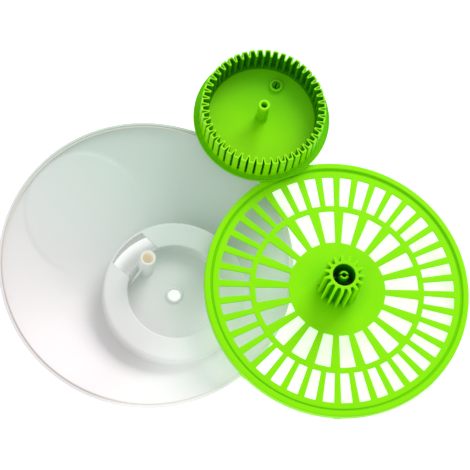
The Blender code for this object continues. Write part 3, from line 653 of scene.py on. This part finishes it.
def dish_inside(x, y):
    """Height of the lid's inner surface."""
    lowest = LID_SKIRT + DOME_DEPTH * (1 - (DISH_EDGE / LID_RADIUS) ** 2) - DISH_WALL
    crown = LID_SKIRT + DOME_DEPTH - DISH_WALL
    dome = lowest + (crown - lowest) * (1 - (x * x + y * y) / DISH_EDGE ** 2)
    return with_rest(dome, x, y, DISH_WALL)


def dish_outside(x, y):
    """Height of the lid's outer surface."""
    return with_rest(LID_SKIRT + DOME_DEPTH * (1 - (x * x + y * y) / LID_RADIUS ** 2), x, y, 0.0)


print("flat for the hand is", round(REST_HEIGHT, 1), "mm above the rim's edge")

# %% The swept profile of the lid
LID_SEGMENTS = 288
DISH_SAMPLES = 84
BACK_SAMPLES = 36


def dish_walk(angle, well_radius, edge_radius, surface, samples):
    """Points on a straight walk over the dish, from the well's circle to the rim's circle."""
    c, s = math.cos(angle), math.sin(angle)
    points = []
    for step in range(samples + 1):
        share = step / samples
        x = (WELL_OFFSET + well_radius * c) * (1 - share) + edge_radius * c * share
        y = well_radius * s * (1 - share) + edge_radius * s * share
        points.append((x, y, surface(x, y)))
    return points


def lid_profile(angle):
    """The lid's whole section on one side of the well's axis, with every edge rounded."""
    c, s = math.cos(angle), math.sin(angle)
    inside = dish_walk(angle, WELL_OUTER, DISH_EDGE, dish_inside, DISH_SAMPLES)
    outside = dish_walk(angle, WELL_INNER, LID_RADIUS - 0.05, dish_outside, BACK_SAMPLES)[::-1]

    def well(radius, height, round_by):
        return ((WELL_OFFSET + radius * c, radius * s, height), round_by)

    def rim(radius, height, round_by):
        return ((radius * c, radius * s, height), round_by)

    corners = [well(5.5, 17.4, 0.4), well(7.3, 17.4, 0.6), well(7.3, ISLAND_FLOOR, 0.7),
               well(ISLAND_RADIUS, ISLAND_FLOOR, 1.6), well(ISLAND_RADIUS, GROOVE_FLOOR, 1.5),
               well(WELL_OUTER, GROOVE_FLOOR, 2.6), (inside[0], 1.6)]
    corners += [(point, 0) for point in inside[2:-1]]
    corners += [(inside[-1], 1.3), rim(DISH_EDGE, 0, 0.5), rim(126.5, 0, 0.2), rim(126.8, 1.0, 0.2),
                rim(127.5, 1.0, 0.2), rim(127.8, 0, 0.2), rim(LID_RADIUS, 0, 1.0), (outside[0], 0.5)]
    corners += [(point, 0) for point in outside[1:-1]]
    floor = GROOVE_FLOOR + DISH_WALL
    island = ISLAND_FLOOR + DISH_WALL
    corners += [(outside[-1], 0.9), well(WELL_INNER, floor, 0.8), well(ISLAND_RADIUS + DISH_WALL, floor, 0.8),
                well(ISLAND_RADIUS + DISH_WALL, island, 0.9), well(5.5, island, 0.4)]
    return rounded(corners, 5)


columns = [lid_profile(math.tau * step / LID_SEGMENTS) for step in range(LID_SEGMENTS)]
lid_bm = bmesh.new()
woven(lid_bm, columns)
lid = finished("lid_shell", lid_bm, lid_place, "lid", ["lid"])
lid.data.materials.append(white.material)

# %% [markdown]
# The pinion reaches into the groove through a notch, and it turns on a hollow
# tube that hangs from the island. The notch and the tube's hole are real cuts;
# the tube itself is a turned piece with a flared foot, as a mould would leave
# it, and a gusset steadies it against the island's wall.

# %% Notch, tube and gusset
NOTCH_HALF = PINION_TIP + 1.0
NOTCH_FAR = WELL_INNER - 0.6


def notch_bm():
    """The way the pinion reaches the ring gear, used as a cutter."""
    half = math.asin(NOTCH_HALF / NOTCH_FAR)
    outline = [(0.0, NOTCH_HALF)]
    for step in range(33):
        angle = math.pi - half + 2 * half * step / 32
        outline.append((WELL_OFFSET + NOTCH_FAR * math.cos(angle), NOTCH_FAR * math.sin(angle)))
    outline.append((0.0, -NOTCH_HALF))
    bm = bmesh.new()
    levels = [[(x, y, height) for x, y in outline] for height in (GROOVE_FLOOR - 5, 18.8)]
    for ends in woven(bm, levels, close_rows=False):
        bm.faces.new(ends)
    return bm


carve(lid, notch_bm(), lid_place)
carve(lid, rod_bm(5.4, 14.0, 24.0, 48), lid_place)

TUBE_RADIUS = 7.0
TUBE_BORE = 4.8
TUBE_FOOT = 8.0          # radius of the flare where the tube meets the island
tube_low = ISLAND_FLOOR - 36.0
tube_bm = bmesh.new()
spin(tube_bm, flat_profile([
    (TUBE_RADIUS, tube_low, 0.7), (TUBE_RADIUS, 17.4, 1.0), (TUBE_FOOT, ISLAND_FLOOR + 0.1, 0.1),
    (TUBE_FOOT, 20.2, 0), (5.6, 21.1, 0.3), (TUBE_BORE, 21.1, 0.2), (TUBE_BORE, tube_low, 0.6)], 5), 96)
reach = math.sqrt(ISLAND_RADIUS ** 2 - WELL_OFFSET ** 2) + 0.8
gusset = [(5.4, 19.6), (5.4, ISLAND_FLOOR - 17.0), (reach, ISLAND_FLOOR - 1.5), (reach, 19.6)]
add_bevelled_prism(tube_bm, gusset, 1.8, 0.3)
tube = finished("lid_tube", tube_bm, lid_place, "lid", ["lid"])
tube.data.materials.append(white.material)

# %% [markdown]
# ## The crank wheel
# The wheel is a flat disc that carries an internal ring gear. The gear is a
# corrugated strip: the same wavy wall is the teeth inside and the flutes
# outside, which saves plastic. We draw both waves with the same number of
# points, so that inside and outside can be joined straight across, and the top
# edge can be rounded by moving a little from one wave towards the other.

# %% A rounded tooth wave


def tooth_wave(inner, outer, teeth, half_inner, half_outer, roundness, steps=4):
    """Closed outline that steps between two radii, with rounded corners."""
    corners = []
    pitch = math.tau / teeth
    shape = ((-half_outer, outer), (-half_inner, inner), (half_inner, inner), (half_outer, outer))
    for tooth in range(teeth):
        for share, radius in shape:
            angle = pitch * (tooth + share)
            corners.append(((radius * math.cos(angle), radius * math.sin(angle)), roundness))
    return rounded(corners, steps)


def walled(bm, outside, inside, foot, top, edge):
    """A wall between two equally long outlines, from foot to top, with a rounded top edge."""
    up = 1.0 if top > foot else -1.0
    loops = []

    def between(share, height):
        loops.append([Vector((*(o * (1 - share) + i * share), height)) for o, i in zip(outside, inside)])

    between(0.0, foot)
    between(0.0, (foot + top) / 2)
    for step in range(5):
        turn = math.pi / 2 * step / 4
        between(edge * (1 - math.cos(turn)), top - up * 0.7 * (1 - math.sin(turn)))
    between(0.5, top)
    for step in range(5):
        turn = math.pi / 2 * (1 - step / 4)
        between(1 - edge * (1 - math.cos(turn)), top - up * 0.7 * (1 - math.sin(turn)))
    between(1.0, (foot + top) / 2)
    between(1.0, foot)
    woven(bm, loops)


flutes = tooth_wave(RING_TIP + RING_WALL, RING_ROOT + RING_WALL, RING_TEETH, 0.02, 0.16, 0.55)
teeth = tooth_wave(RING_TIP, RING_ROOT, RING_TEETH, 0.14, 0.30, 0.55)
print("points on each wave:", len(flutes), len(teeth))

# %% Wheel disc, ring gear, post and boss
POST_RADIUS = 5.0
POST_BORE = 2.9
POST_TOP = -29.0         # the wheel's own z points away from its teeth
GEAR_TOP = -25.0
wheel_bm = bmesh.new()
spin(wheel_bm, flat_profile([
    (0, 0, 0), (WHEEL_RADIUS - 1.5, 0, 0.2), (WHEEL_RADIUS - 1.1, -0.45, 0.2), (WHEEL_RADIUS, -0.45, 0.4),
    (WHEEL_RADIUS, 2.2, 0.9), (0, 2.2, 0)], 5), 224)
wheel = finished("wheel_disc", wheel_bm, wheel_place, "crank_wheel", ["crank_wheel"])
wheel.data.materials.append(green.material)
carve(wheel, rod_bm(3.0, -2.0, 4.0, 48, (CRANK, 0.0)), wheel_place)

gear_bm = bmesh.new()
walled(gear_bm, flutes, teeth, 0.2, GEAR_TOP, 0.28)
spin(gear_bm, flat_profile([
    (POST_RADIUS, 0.3, 0), (6.0, 0.05, 0.3), (POST_RADIUS, -1.2, 0.9), (POST_RADIUS, POST_TOP, 0.45),
    (POST_BORE, POST_TOP, 0.45), (POST_BORE, -1.0, 0.8), (0, -1.0, 0), (0, 0.3, 0)], 5), 96)
boss = flat_profile([(6.6, 0.2, 0), (6.0, -0.5, 0.5), (6.0, -3.5, 0.7), (4.3, -3.5, 0.3), (3.0, -2.6, 0.3),
                     (3.0, 0.2, 0)], 5)
spin(gear_bm, boss, 96, (CRANK, 0.0))
gear = finished("wheel_gear", gear_bm, wheel_place, "crank_wheel", ["crank_wheel"])
gear.data.materials.append(green.material)

# %% [markdown]
# ## The knob
# The knob is a turned grip on a split stem. The stem snaps through the boss
# from outside, so only its slotted tip shows on this side of the wheel. The
# grip swells towards its end and a small cap closes it.

# %% Knob, cap and stem
KNOB_LENGTH = 35.0
knob_corners = [(3.0, 0.3, 0.2), (4.0, 0.3, 0.4)]
for step in range(1, 24):
    share = step / 24
    grown = min(1.0, max(0.0, (share - 0.3) / 0.45))
    shoulder = math.sqrt(1 - max(0.0, (share - 0.72) / 0.28) ** 2 * 0.45)
    radius = (4.0 + 3.5 * math.sin(math.pi / 2 * grown) ** 2) * shoulder
    knob_corners.append((radius, 0.3 + (KNOB_LENGTH - 0.3) * share, 0))
knob_corners += [(5.9, KNOB_LENGTH, 0.3), (5.5, KNOB_LENGTH, 0.2), (5.5, KNOB_LENGTH - 1.7, 0.1),
                 (3.0, KNOB_LENGTH - 1.7, 0.1)]
knob_bm = bmesh.new()
spin(knob_bm, flat_profile(knob_corners, 4), 96)
knob = finished("knob_grip", knob_bm, knob_place, "knob", ["knob"])
knob.data.materials.append(green.material)

cap_bm = bmesh.new()
spin(cap_bm, flat_profile([
    (0, KNOB_LENGTH - 1.4, 0), (5.2, KNOB_LENGTH - 1.4, 0.2), (5.2, KNOB_LENGTH - 0.2, 0.5),
    (2.6, KNOB_LENGTH + 0.2, 1.0), (0, KNOB_LENGTH + 0.3, 0)], 5), 96)
cap = finished("knob_end_cap", cap_bm, knob_place, "knob", ["knob_cap"])
cap.data.materials.append(acetal.material)

stem_bm = bmesh.new()
spin(stem_bm, flat_profile([
    (0, -7.9, 0), (2.1, -7.9, 0.3), (3.2, -6.5, 0.3), (3.2, -6.0, 0.2), (2.7, -6.0, 0.1), (2.7, 33.0, 0.2),
    (0, 33.0, 0)], 4), 64)
stem = finished("knob_split_stem", stem_bm, knob_place, "knob", ["knob_stem"])
stem.data.materials.append(shaded_stem_green.material)
carve(stem, box_bm((-5, -0.65, -9), (5, 0.65, 8.7)), knob_place)

# %% [markdown]
# ## The drive plate
# The plate closes the basket. Its bars are too many to cut one by one, and
# their edges must be soft. So each slot is drawn as a loop of points with
# rounded corners, and drawn again a little wider where the edge eases into the
# top face. The flat faces between the loops are filled at once.

# %% Slots of the plate
SLOT_RINGS = ((PLATE_HUB, 72.5, 20, -1.5), (77.5, 104.5, 40, 0.0))     # radii, count, offset in degrees
BAR_SHARE = 0.38
PLATE_FIELD = 108.6      # the flat, slotted part ends here and the rim's profile takes over
PLATE_SEGMENTS = 320


def slot_loop(inner, outer, first, last, grow):
    """One slot between two radii and two angles, with rounded corners, grown by grow."""
    corners = []
    low, high = inner - grow, outer + grow
    for radius, way in ((low, 1), (high, -1)):
        widen = grow / radius
        start, stop = first - widen, last + widen
        steps = 6
        for step in range(steps + 1):
            share = step / steps if way > 0 else 1 - step / steps
            angle = start + (stop - start) * share
            edge = step in (0, steps)
            corners.append(((radius * math.cos(angle), radius * math.sin(angle)), 0.9 + grow if edge else 0))
    return rounded(corners, 4)


def all_slots(grow):
    """Every slot of the plate as a loop of points."""
    loops = []
    for inner, outer, count, offset in SLOT_RINGS:
        pitch = math.tau / count
        for bar in range(count):
            middle = pitch * (bar + 0.5) + math.radians(offset)
            half = pitch * (1 - BAR_SHARE) / 2
            loops.append(slot_loop(inner, outer, middle - half, middle + half, grow))
    return loops


def filled_level(bm, loops):
    """Fill the flat face between closed loops of vertices."""
    edges = []
    for loop in loops:
        edges += [bm.edges.get(pair) or bm.edges.new(pair) for pair in zip(loop, loop[1:] + loop[:1])]
    bmesh.ops.triangle_fill(bm, use_beauty=True, edges=edges)


print("slots:", len(all_slots(0.0)))

# %% The plate's field, rim and clip nubs
THICK = 2.2
EASE = 0.4
plate_bm = bmesh.new()
levels = [(EASE, 0.0), (EASE * 0.3, -EASE * 0.3), (0.0, -EASE), (0.0, -THICK + 0.3), (0.3, -THICK)]
slots_by_level = []
for grow, height in levels:
    slots_by_level.append([[(*point, height) for point in loop] for loop in all_slots(grow)])
top_loops = []
low_loops = []
for rows in zip(*slots_by_level):
    grid = woven(plate_bm, rows, close_rows=False)
    top_loops.append(grid[0])
    low_loops.append(grid[-1])

rim_profile = flat_profile([
    (PLATE_FIELD, 0, 0), (110.0, 0, 0.4), (110.5, -0.55, 0.25), (111.2, -0.55, 0.3), (112.4, 1.6, 0.9),
    (PLATE_RADIUS, 1.6, 1.3), (PLATE_RADIUS, -5.0, 0.4), (PLATE_RADIUS - THICK, -5.0, 0.4),
    (PLATE_RADIUS - THICK, -THICK, 0.6), (PLATE_FIELD, -THICK, 0)], 6, closed=False)
rim_circles = [ring_of(radius, height, PLATE_SEGMENTS) for radius, height in rim_profile]
rim_rings = woven(plate_bm, rim_circles, close_rows=False)
HUB_HOLE = 12.0          # hidden under the pinion
hub_rings = woven(plate_bm, [ring_of(HUB_HOLE, 0, 96), ring_of(HUB_HOLE, -THICK, 96)], close_rows=False)
filled_level(plate_bm, [rim_rings[0], hub_rings[0]] + top_loops)
filled_level(plate_bm, [rim_rings[-1], hub_rings[-1]] + low_loops)


def add_nub(bm, angle):
    """A small tongue under the skirt that clips under the basket's rim."""
    rows = []
    inner = PLATE_RADIUS - THICK
    for step in range(9):
        turn = math.radians(angle + 1.71 * (step / 4 - 1))
        taper = 0.6 * abs(step / 4 - 1) ** 4
        section = [(inner, -4.8), (inner, -7.0 + taper), (PLATE_RADIUS - 1.7, -7.4 + taper),
                   (PLATE_RADIUS - 0.3, -7.4 + taper), (PLATE_RADIUS, -7.0 + taper), (PLATE_RADIUS, -4.8)]
        rows.append([Vector((r * math.cos(turn), r * math.sin(turn), z)) for r, z in section])
    grid = woven(bm, rows, close_rows=False)
    bm.faces.new(grid[0])
    bm.faces.new(grid[-1])


NUBS = 8
for nub in range(NUBS):
    add_nub(plate_bm, 360 / NUBS * nub)
plate = finished("plate_sheet", plate_bm, plate_place, "drive_plate", ["drive_plate"], 30.0)
plate.data.materials.append(lime.material)
even = plate.modifiers.new("even shading", "WEIGHTED_NORMAL")
even.keep_sharp = True

# %% [markdown]
# ## The pinion and its snap pin
# The pinion is a tall spur gear with pointed teeth. It is walled just like the
# ring gear, with a plain circle as its inside. The pin inside it is split, with
# a barb near its top, so that it can be squeezed through the lid's tube.

# %% Pinion and snap pin
spur = tooth_wave(PINION_TIP, PINION_ROOT, PINION_TEETH, 0.13, 0.31, 0.75, 5)
bore = [point.normalized() * 10.0 for point in spur]
pinion_bm = bmesh.new()
walled(pinion_bm, spur, bore, 0.3, 36.8, 0.16)
pinion = finished("pinion_gear", pinion_bm, plate_place, "drive_plate", ["pinion"])
pinion.data.materials.append(pinion_lime.material)

pin_bm = bmesh.new()
spin(pin_bm, flat_profile([
    (0, 0.3, 0), (9.7, 0.3, 0.2), (9.7, 1.8, 0.4), (4.4, 2.8, 1.0), (4.4, 32.9, 0.2), (4.65, 33.5, 0.1),
    (4.65, 34.3, 0.3), (3.4, 36.3, 0.4), (2.1, 36.3, 0.4), (2.1, 13.0, 0.8), (0, 13.0, 0)], 4), 96)
pin = finished("pinion_snap_pin", pin_bm, plate_place, "drive_plate", ["snap_pin"])
pin.data.materials.append(pinion_lime.material)
carve(pin, box_bm((-9, -0.8, 14.4), (9, 0.8, 38)), plate_place)

# %% [markdown]
# ## Bowl, foot and pivot
# The bowl is a plain turned shell with a rolled edge. It stands on a soft ring
# and has a steel pivot in its floor for the basket. Both of the bowl's sides are
# quarter ellipses, so they start level at the floor and end upright at the lip.

# %% Turned bowl parts


def bowl_side(base, rim, low, high, steps):
    """Points of a side that starts level and ends upright."""
    points = []
    for step in range(steps):
        angle = math.pi / 2 * step / steps
        points.append((base + (rim - base) * math.sin(angle), low + (high - low) * (1 - math.cos(angle)), 0))
    return points


BOWL_RADIUS = 128.5
BOWL_HEIGHT = 125.0
BOWL_BASE = 66.0         # radius of the flat floor
BOWL_UNDERSIDE = 3.3
BOWL_FLOOR = 5.5
BOWL_WALL = 2.2
FOOT_INNER = 59.0
FOOT_OUTER = 66.0
PIVOT_RADIUS = 6.0
outside = bowl_side(BOWL_BASE, BOWL_RADIUS, BOWL_UNDERSIDE, BOWL_HEIGHT, 40)
inside = bowl_side(BOWL_BASE, BOWL_RADIUS - BOWL_WALL, BOWL_FLOOR, BOWL_HEIGHT, 40)
lip = [(BOWL_RADIUS, BOWL_HEIGHT, 0.9), (BOWL_RADIUS - BOWL_WALL, BOWL_HEIGHT, 0.9)]
bowl_outline = [(0, BOWL_UNDERSIDE, 0)] + outside + lip + inside[::-1] + [(0, BOWL_FLOOR, 0)]
bowl_bm = bmesh.new()
spin(bowl_bm, flat_profile(bowl_outline, 5), 192)
bowl = finished("bowl_shell", bowl_bm, bowl_place, "bowl", ["bowl"])
bowl.data.materials.append(clear.material)

foot_bm = bmesh.new()
spin(foot_bm, flat_profile([
    (FOOT_INNER, 0, 0.8), (61.9, 0, 0.2), (62.2, 0.5, 0.2), (62.8, 0.5, 0.2), (63.1, 0, 0.2),
    (FOOT_OUTER, 0, 0.8), (FOOT_OUTER, 3.0, 0.4), (FOOT_INNER, 3.0, 0.4)], 4), 160)
foot = finished("foot_grip_ring", foot_bm, bowl_place, "bowl", ["foot_ring"])
foot.data.materials.append(soft_grey.material)

pivot_bm = bmesh.new()
spin(pivot_bm, flat_profile([
    (0, 5.8, 0), (12.0, 5.8, 0.2), (12.0, 7.3, 0.5), (PIVOT_RADIUS, 8.3, 1.2), (PIVOT_RADIUS, 14.8, 0.6),
    (2.4, 17.8, 1.2), (0, 17.8, 0)], 5), 96)
pivot = finished("pivot_pin", pivot_bm, bowl_place, "bowl", ["bowl_pivot"])
pivot.data.materials.append(steel.material)

# %% [markdown]
# ## The basket
# The basket is a slotted bowl. Here a coarse net of faces with the slots left
# out is the quickest drawing: Solidify gives it its wall, and a Subdivision
# Surface then rounds every slot and bar in one go, as a mould would.

# %% Slotted basket and its bush
BASKET_BARS = 36
BASKET_FLOOR = 10.5
BASKET_RISE = 95.0
BASKET_BASE = 65.8
BASKET_RIM = 117.8
# Rows of points are (radius, height, 1 if the faces that end at the row are slotted). The side's
# rows are listed by their share of a quarter turn, as the side starts level and ends upright.
basket_rows = []
for radius, slotted in ((8.9, 0), (11.5, 0), (22.5, 0), (24.5, 1), (42.0, 1), (58.0, 1), (60.0, 0)):
    basket_rows.append((radius, BASKET_FLOOR, slotted))
for share, slotted in ((0.0, 0), (0.07, 0), (0.16, 0), (0.19, 1), (0.27, 1), (0.36, 1), (0.42, 1), (0.45, 0),
                       (0.48, 0), (0.52, 1), (0.60, 1), (0.70, 1), (0.80, 1), (0.87, 1), (0.90, 0),
                       (0.96, 0)):
    angle = math.pi / 2 * share
    radius = BASKET_BASE + (BASKET_RIM - BASKET_BASE) * math.sin(angle)
    basket_rows.append((radius, BASKET_FLOOR + BASKET_RISE * (1 - math.cos(angle)), slotted))
for radius in (BASKET_RIM, 120.4):
    basket_rows.append((radius, BASKET_FLOOR + BASKET_RISE, 0))
COLUMNS = (-0.19, -0.10, 0.10, 0.19, 0.35, 0.65)     # shares of the pitch: bar first, then slot
basket_bm = bmesh.new()
basket_grid = []
for radius, height, slotted in basket_rows:
    row = []
    for bar in range(BASKET_BARS):
        for share in COLUMNS:
            angle = math.tau * (bar + share) / BASKET_BARS
            row.append(basket_bm.verts.new((radius * math.cos(angle), radius * math.sin(angle), height)))
    basket_grid.append(row)
FIRST_SLOT_COLUMN = 3
for low_row, high_row, (radius, height, slotted) in zip(basket_grid, basket_grid[1:], basket_rows[1:]):
    for column in range(len(low_row)):
        if slotted and column % len(COLUMNS) >= FIRST_SLOT_COLUMN:
            continue
        after = (column + 1) % len(low_row)
        basket_bm.faces.new((low_row[column], low_row[after], high_row[after], high_row[column]))
basket = finished("basket_net", basket_bm, bowl_place, "basket", ["basket"])
basket.data.materials.append(lime.material)
wall = basket.modifiers.new("wall", "SOLIDIFY")
wall.thickness = 2.0 * MM
wall.offset = 0.0
softened = basket.modifiers.new("rounding", "SUBSURF")
softened.levels = 2
softened.render_levels = 2

BUSH_BORE = 6.5
BUSH_RADIUS = 8.3
BUSH_FLANGE = 11.3
bush_bm = bmesh.new()
spin(bush_bm, flat_profile([
    (BUSH_BORE, 8.8, 0.3), (BUSH_RADIUS, 8.8, 0.4), (BUSH_RADIUS, 11.8, 0.2), (BUSH_FLANGE, 11.8, 0.3),
    (BUSH_FLANGE, 13.8, 0.5), (BUSH_RADIUS, 13.8, 0.4), (BUSH_RADIUS, 20.3, 0.8), (0, 20.3, 0), (0, 18.3, 0),
    (BUSH_BORE, 18.3, 0.4)], 4), 96)
bush = finished("basket_pivot_bush", bush_bm, bowl_place, "basket", ["basket_bush"])
bush.data.materials.append(acetal.material)

# %% [markdown]
# ## Table, light and camera
# A bright table and an even sky give the shadowless look of a catalogue
# picture. One large light behind the right shoulder of the set makes the far
# walls of the dish a little darker than the near ones, which shows its depth.
# A weak one at the near left softens the shadows. The table glows too, but its
# glow is turned down in a ring under the lid's well as painted shade, and kept
# up under the axle hole as painted light.

# %% White table
table_bm = bmesh.new()
bmesh.ops.create_grid(table_bm, x_segments=2, y_segments=2, size=6.0)
table_mesh = bpy.data.meshes.new("table")
table_bm.to_mesh(table_mesh)
table_bm.free()
table = bpy.data.objects.new("table", table_mesh)
bpy.context.scene.collection.objects.link(table)
table.location.z = -0.0004
paper = Finish("table_white", (0.92, 0.92, 0.92), Roughness=0.85, Emission_Strength=0.5)
paper.shader.inputs["Base Color"].default_value = (0.92, 0.92, 0.92, 1.0)
under_well = lid_place @ Vector((WELL_OFFSET * MM, 0.0, 0.0))
mark_own_place(table_mesh, Matrix.Translation(under_well))
# Painted shade: the table's glow is turned down in a ring under the lid's well, and kept under the axle hole
# as painted light.
open_table = paper.between(own_radius(paper), 0.054, 0.064)
painted_axle_light = 1 - paper.between(own_radius(paper), 0.012, 0.030)
table_glow_painted = paper.blend(open_table + painted_axle_light, (0.35, 0.35, 0.34, 1.0), (1.0, 1.0, 1.0, 1.0))
paper.feed("Emission Color", table_glow_painted)
table_mesh.materials.append(paper.material)
table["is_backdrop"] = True
print("table ready")

# %% Lights


def soft_light(name, at, aim, size, power, colour):
    """A large square light that looks at a point."""
    lamp = bpy.data.lights.new(name, "AREA")
    lamp.shape = "SQUARE"
    lamp.size = size
    lamp.energy = power
    lamp.color = colour
    holder = bpy.data.objects.new(name, lamp)
    bpy.context.scene.collection.objects.link(holder)
    holder.location = at
    holder.rotation_euler = (Vector(aim) - Vector(at)).to_track_quat("-Z", "Y").to_euler()


heart = Vector((0.0, -0.12, 0.03))
soft_light("back_light", (0.95, 1.25, 1.25), heart, 1.2, 32.0, (1.0, 0.95, 0.96))
soft_light("near_fill", (-1.2, -1.3, 1.0), heart, 1.6, 9.0, (1.0, 0.985, 0.97))
sky = bpy.data.worlds.new("sky")
sky.use_nodes = True
sky.node_tree.nodes["Background"].inputs["Color"].default_value = (0.89, 1.0, 0.955, 1.0)
sky.node_tree.nodes["Background"].inputs["Strength"].default_value = 0.76
bpy.context.scene.world = sky
bpy.context.scene.view_settings.view_transform = "Standard"

# %% [markdown]
# The camera stands far back with a long lens and looks steeply down, so that
# the dish and the plate are seen as nearly round.

# %% Camera
STEEPNESS = 68.0
DISTANCE = 2.6
seen = rim_centre + Vector((0.0774, 0.0257, 0.0))
seen.z = 0.035
lens = bpy.data.cameras.new("camera")
lens.sensor_width = 36.0
lens.lens = 226.5
camera = bpy.data.objects.new("camera", lens)
bpy.context.scene.collection.objects.link(camera)
tilt = math.radians(STEEPNESS)
camera.location = seen + DISTANCE * Vector((0, -math.cos(tilt), math.sin(tilt)))
camera.rotation_euler = (math.pi / 2 - tilt, 0, 0)
bpy.context.scene.camera = camera
print("camera at", [round(value, 3) for value in camera.location])

# %% [markdown]
# ## Outside sizes
# The outside sizes of the drawn pieces should match the mechanical model, so the
# difference between the two boxes is printed.

# %% Outside sizes
seen_low, seen_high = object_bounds()
growth = (seen_high - seen_low) - (cad_high - cad_low)
print("size differs by", [round(along / MM, 2) for along in growth], "mm")
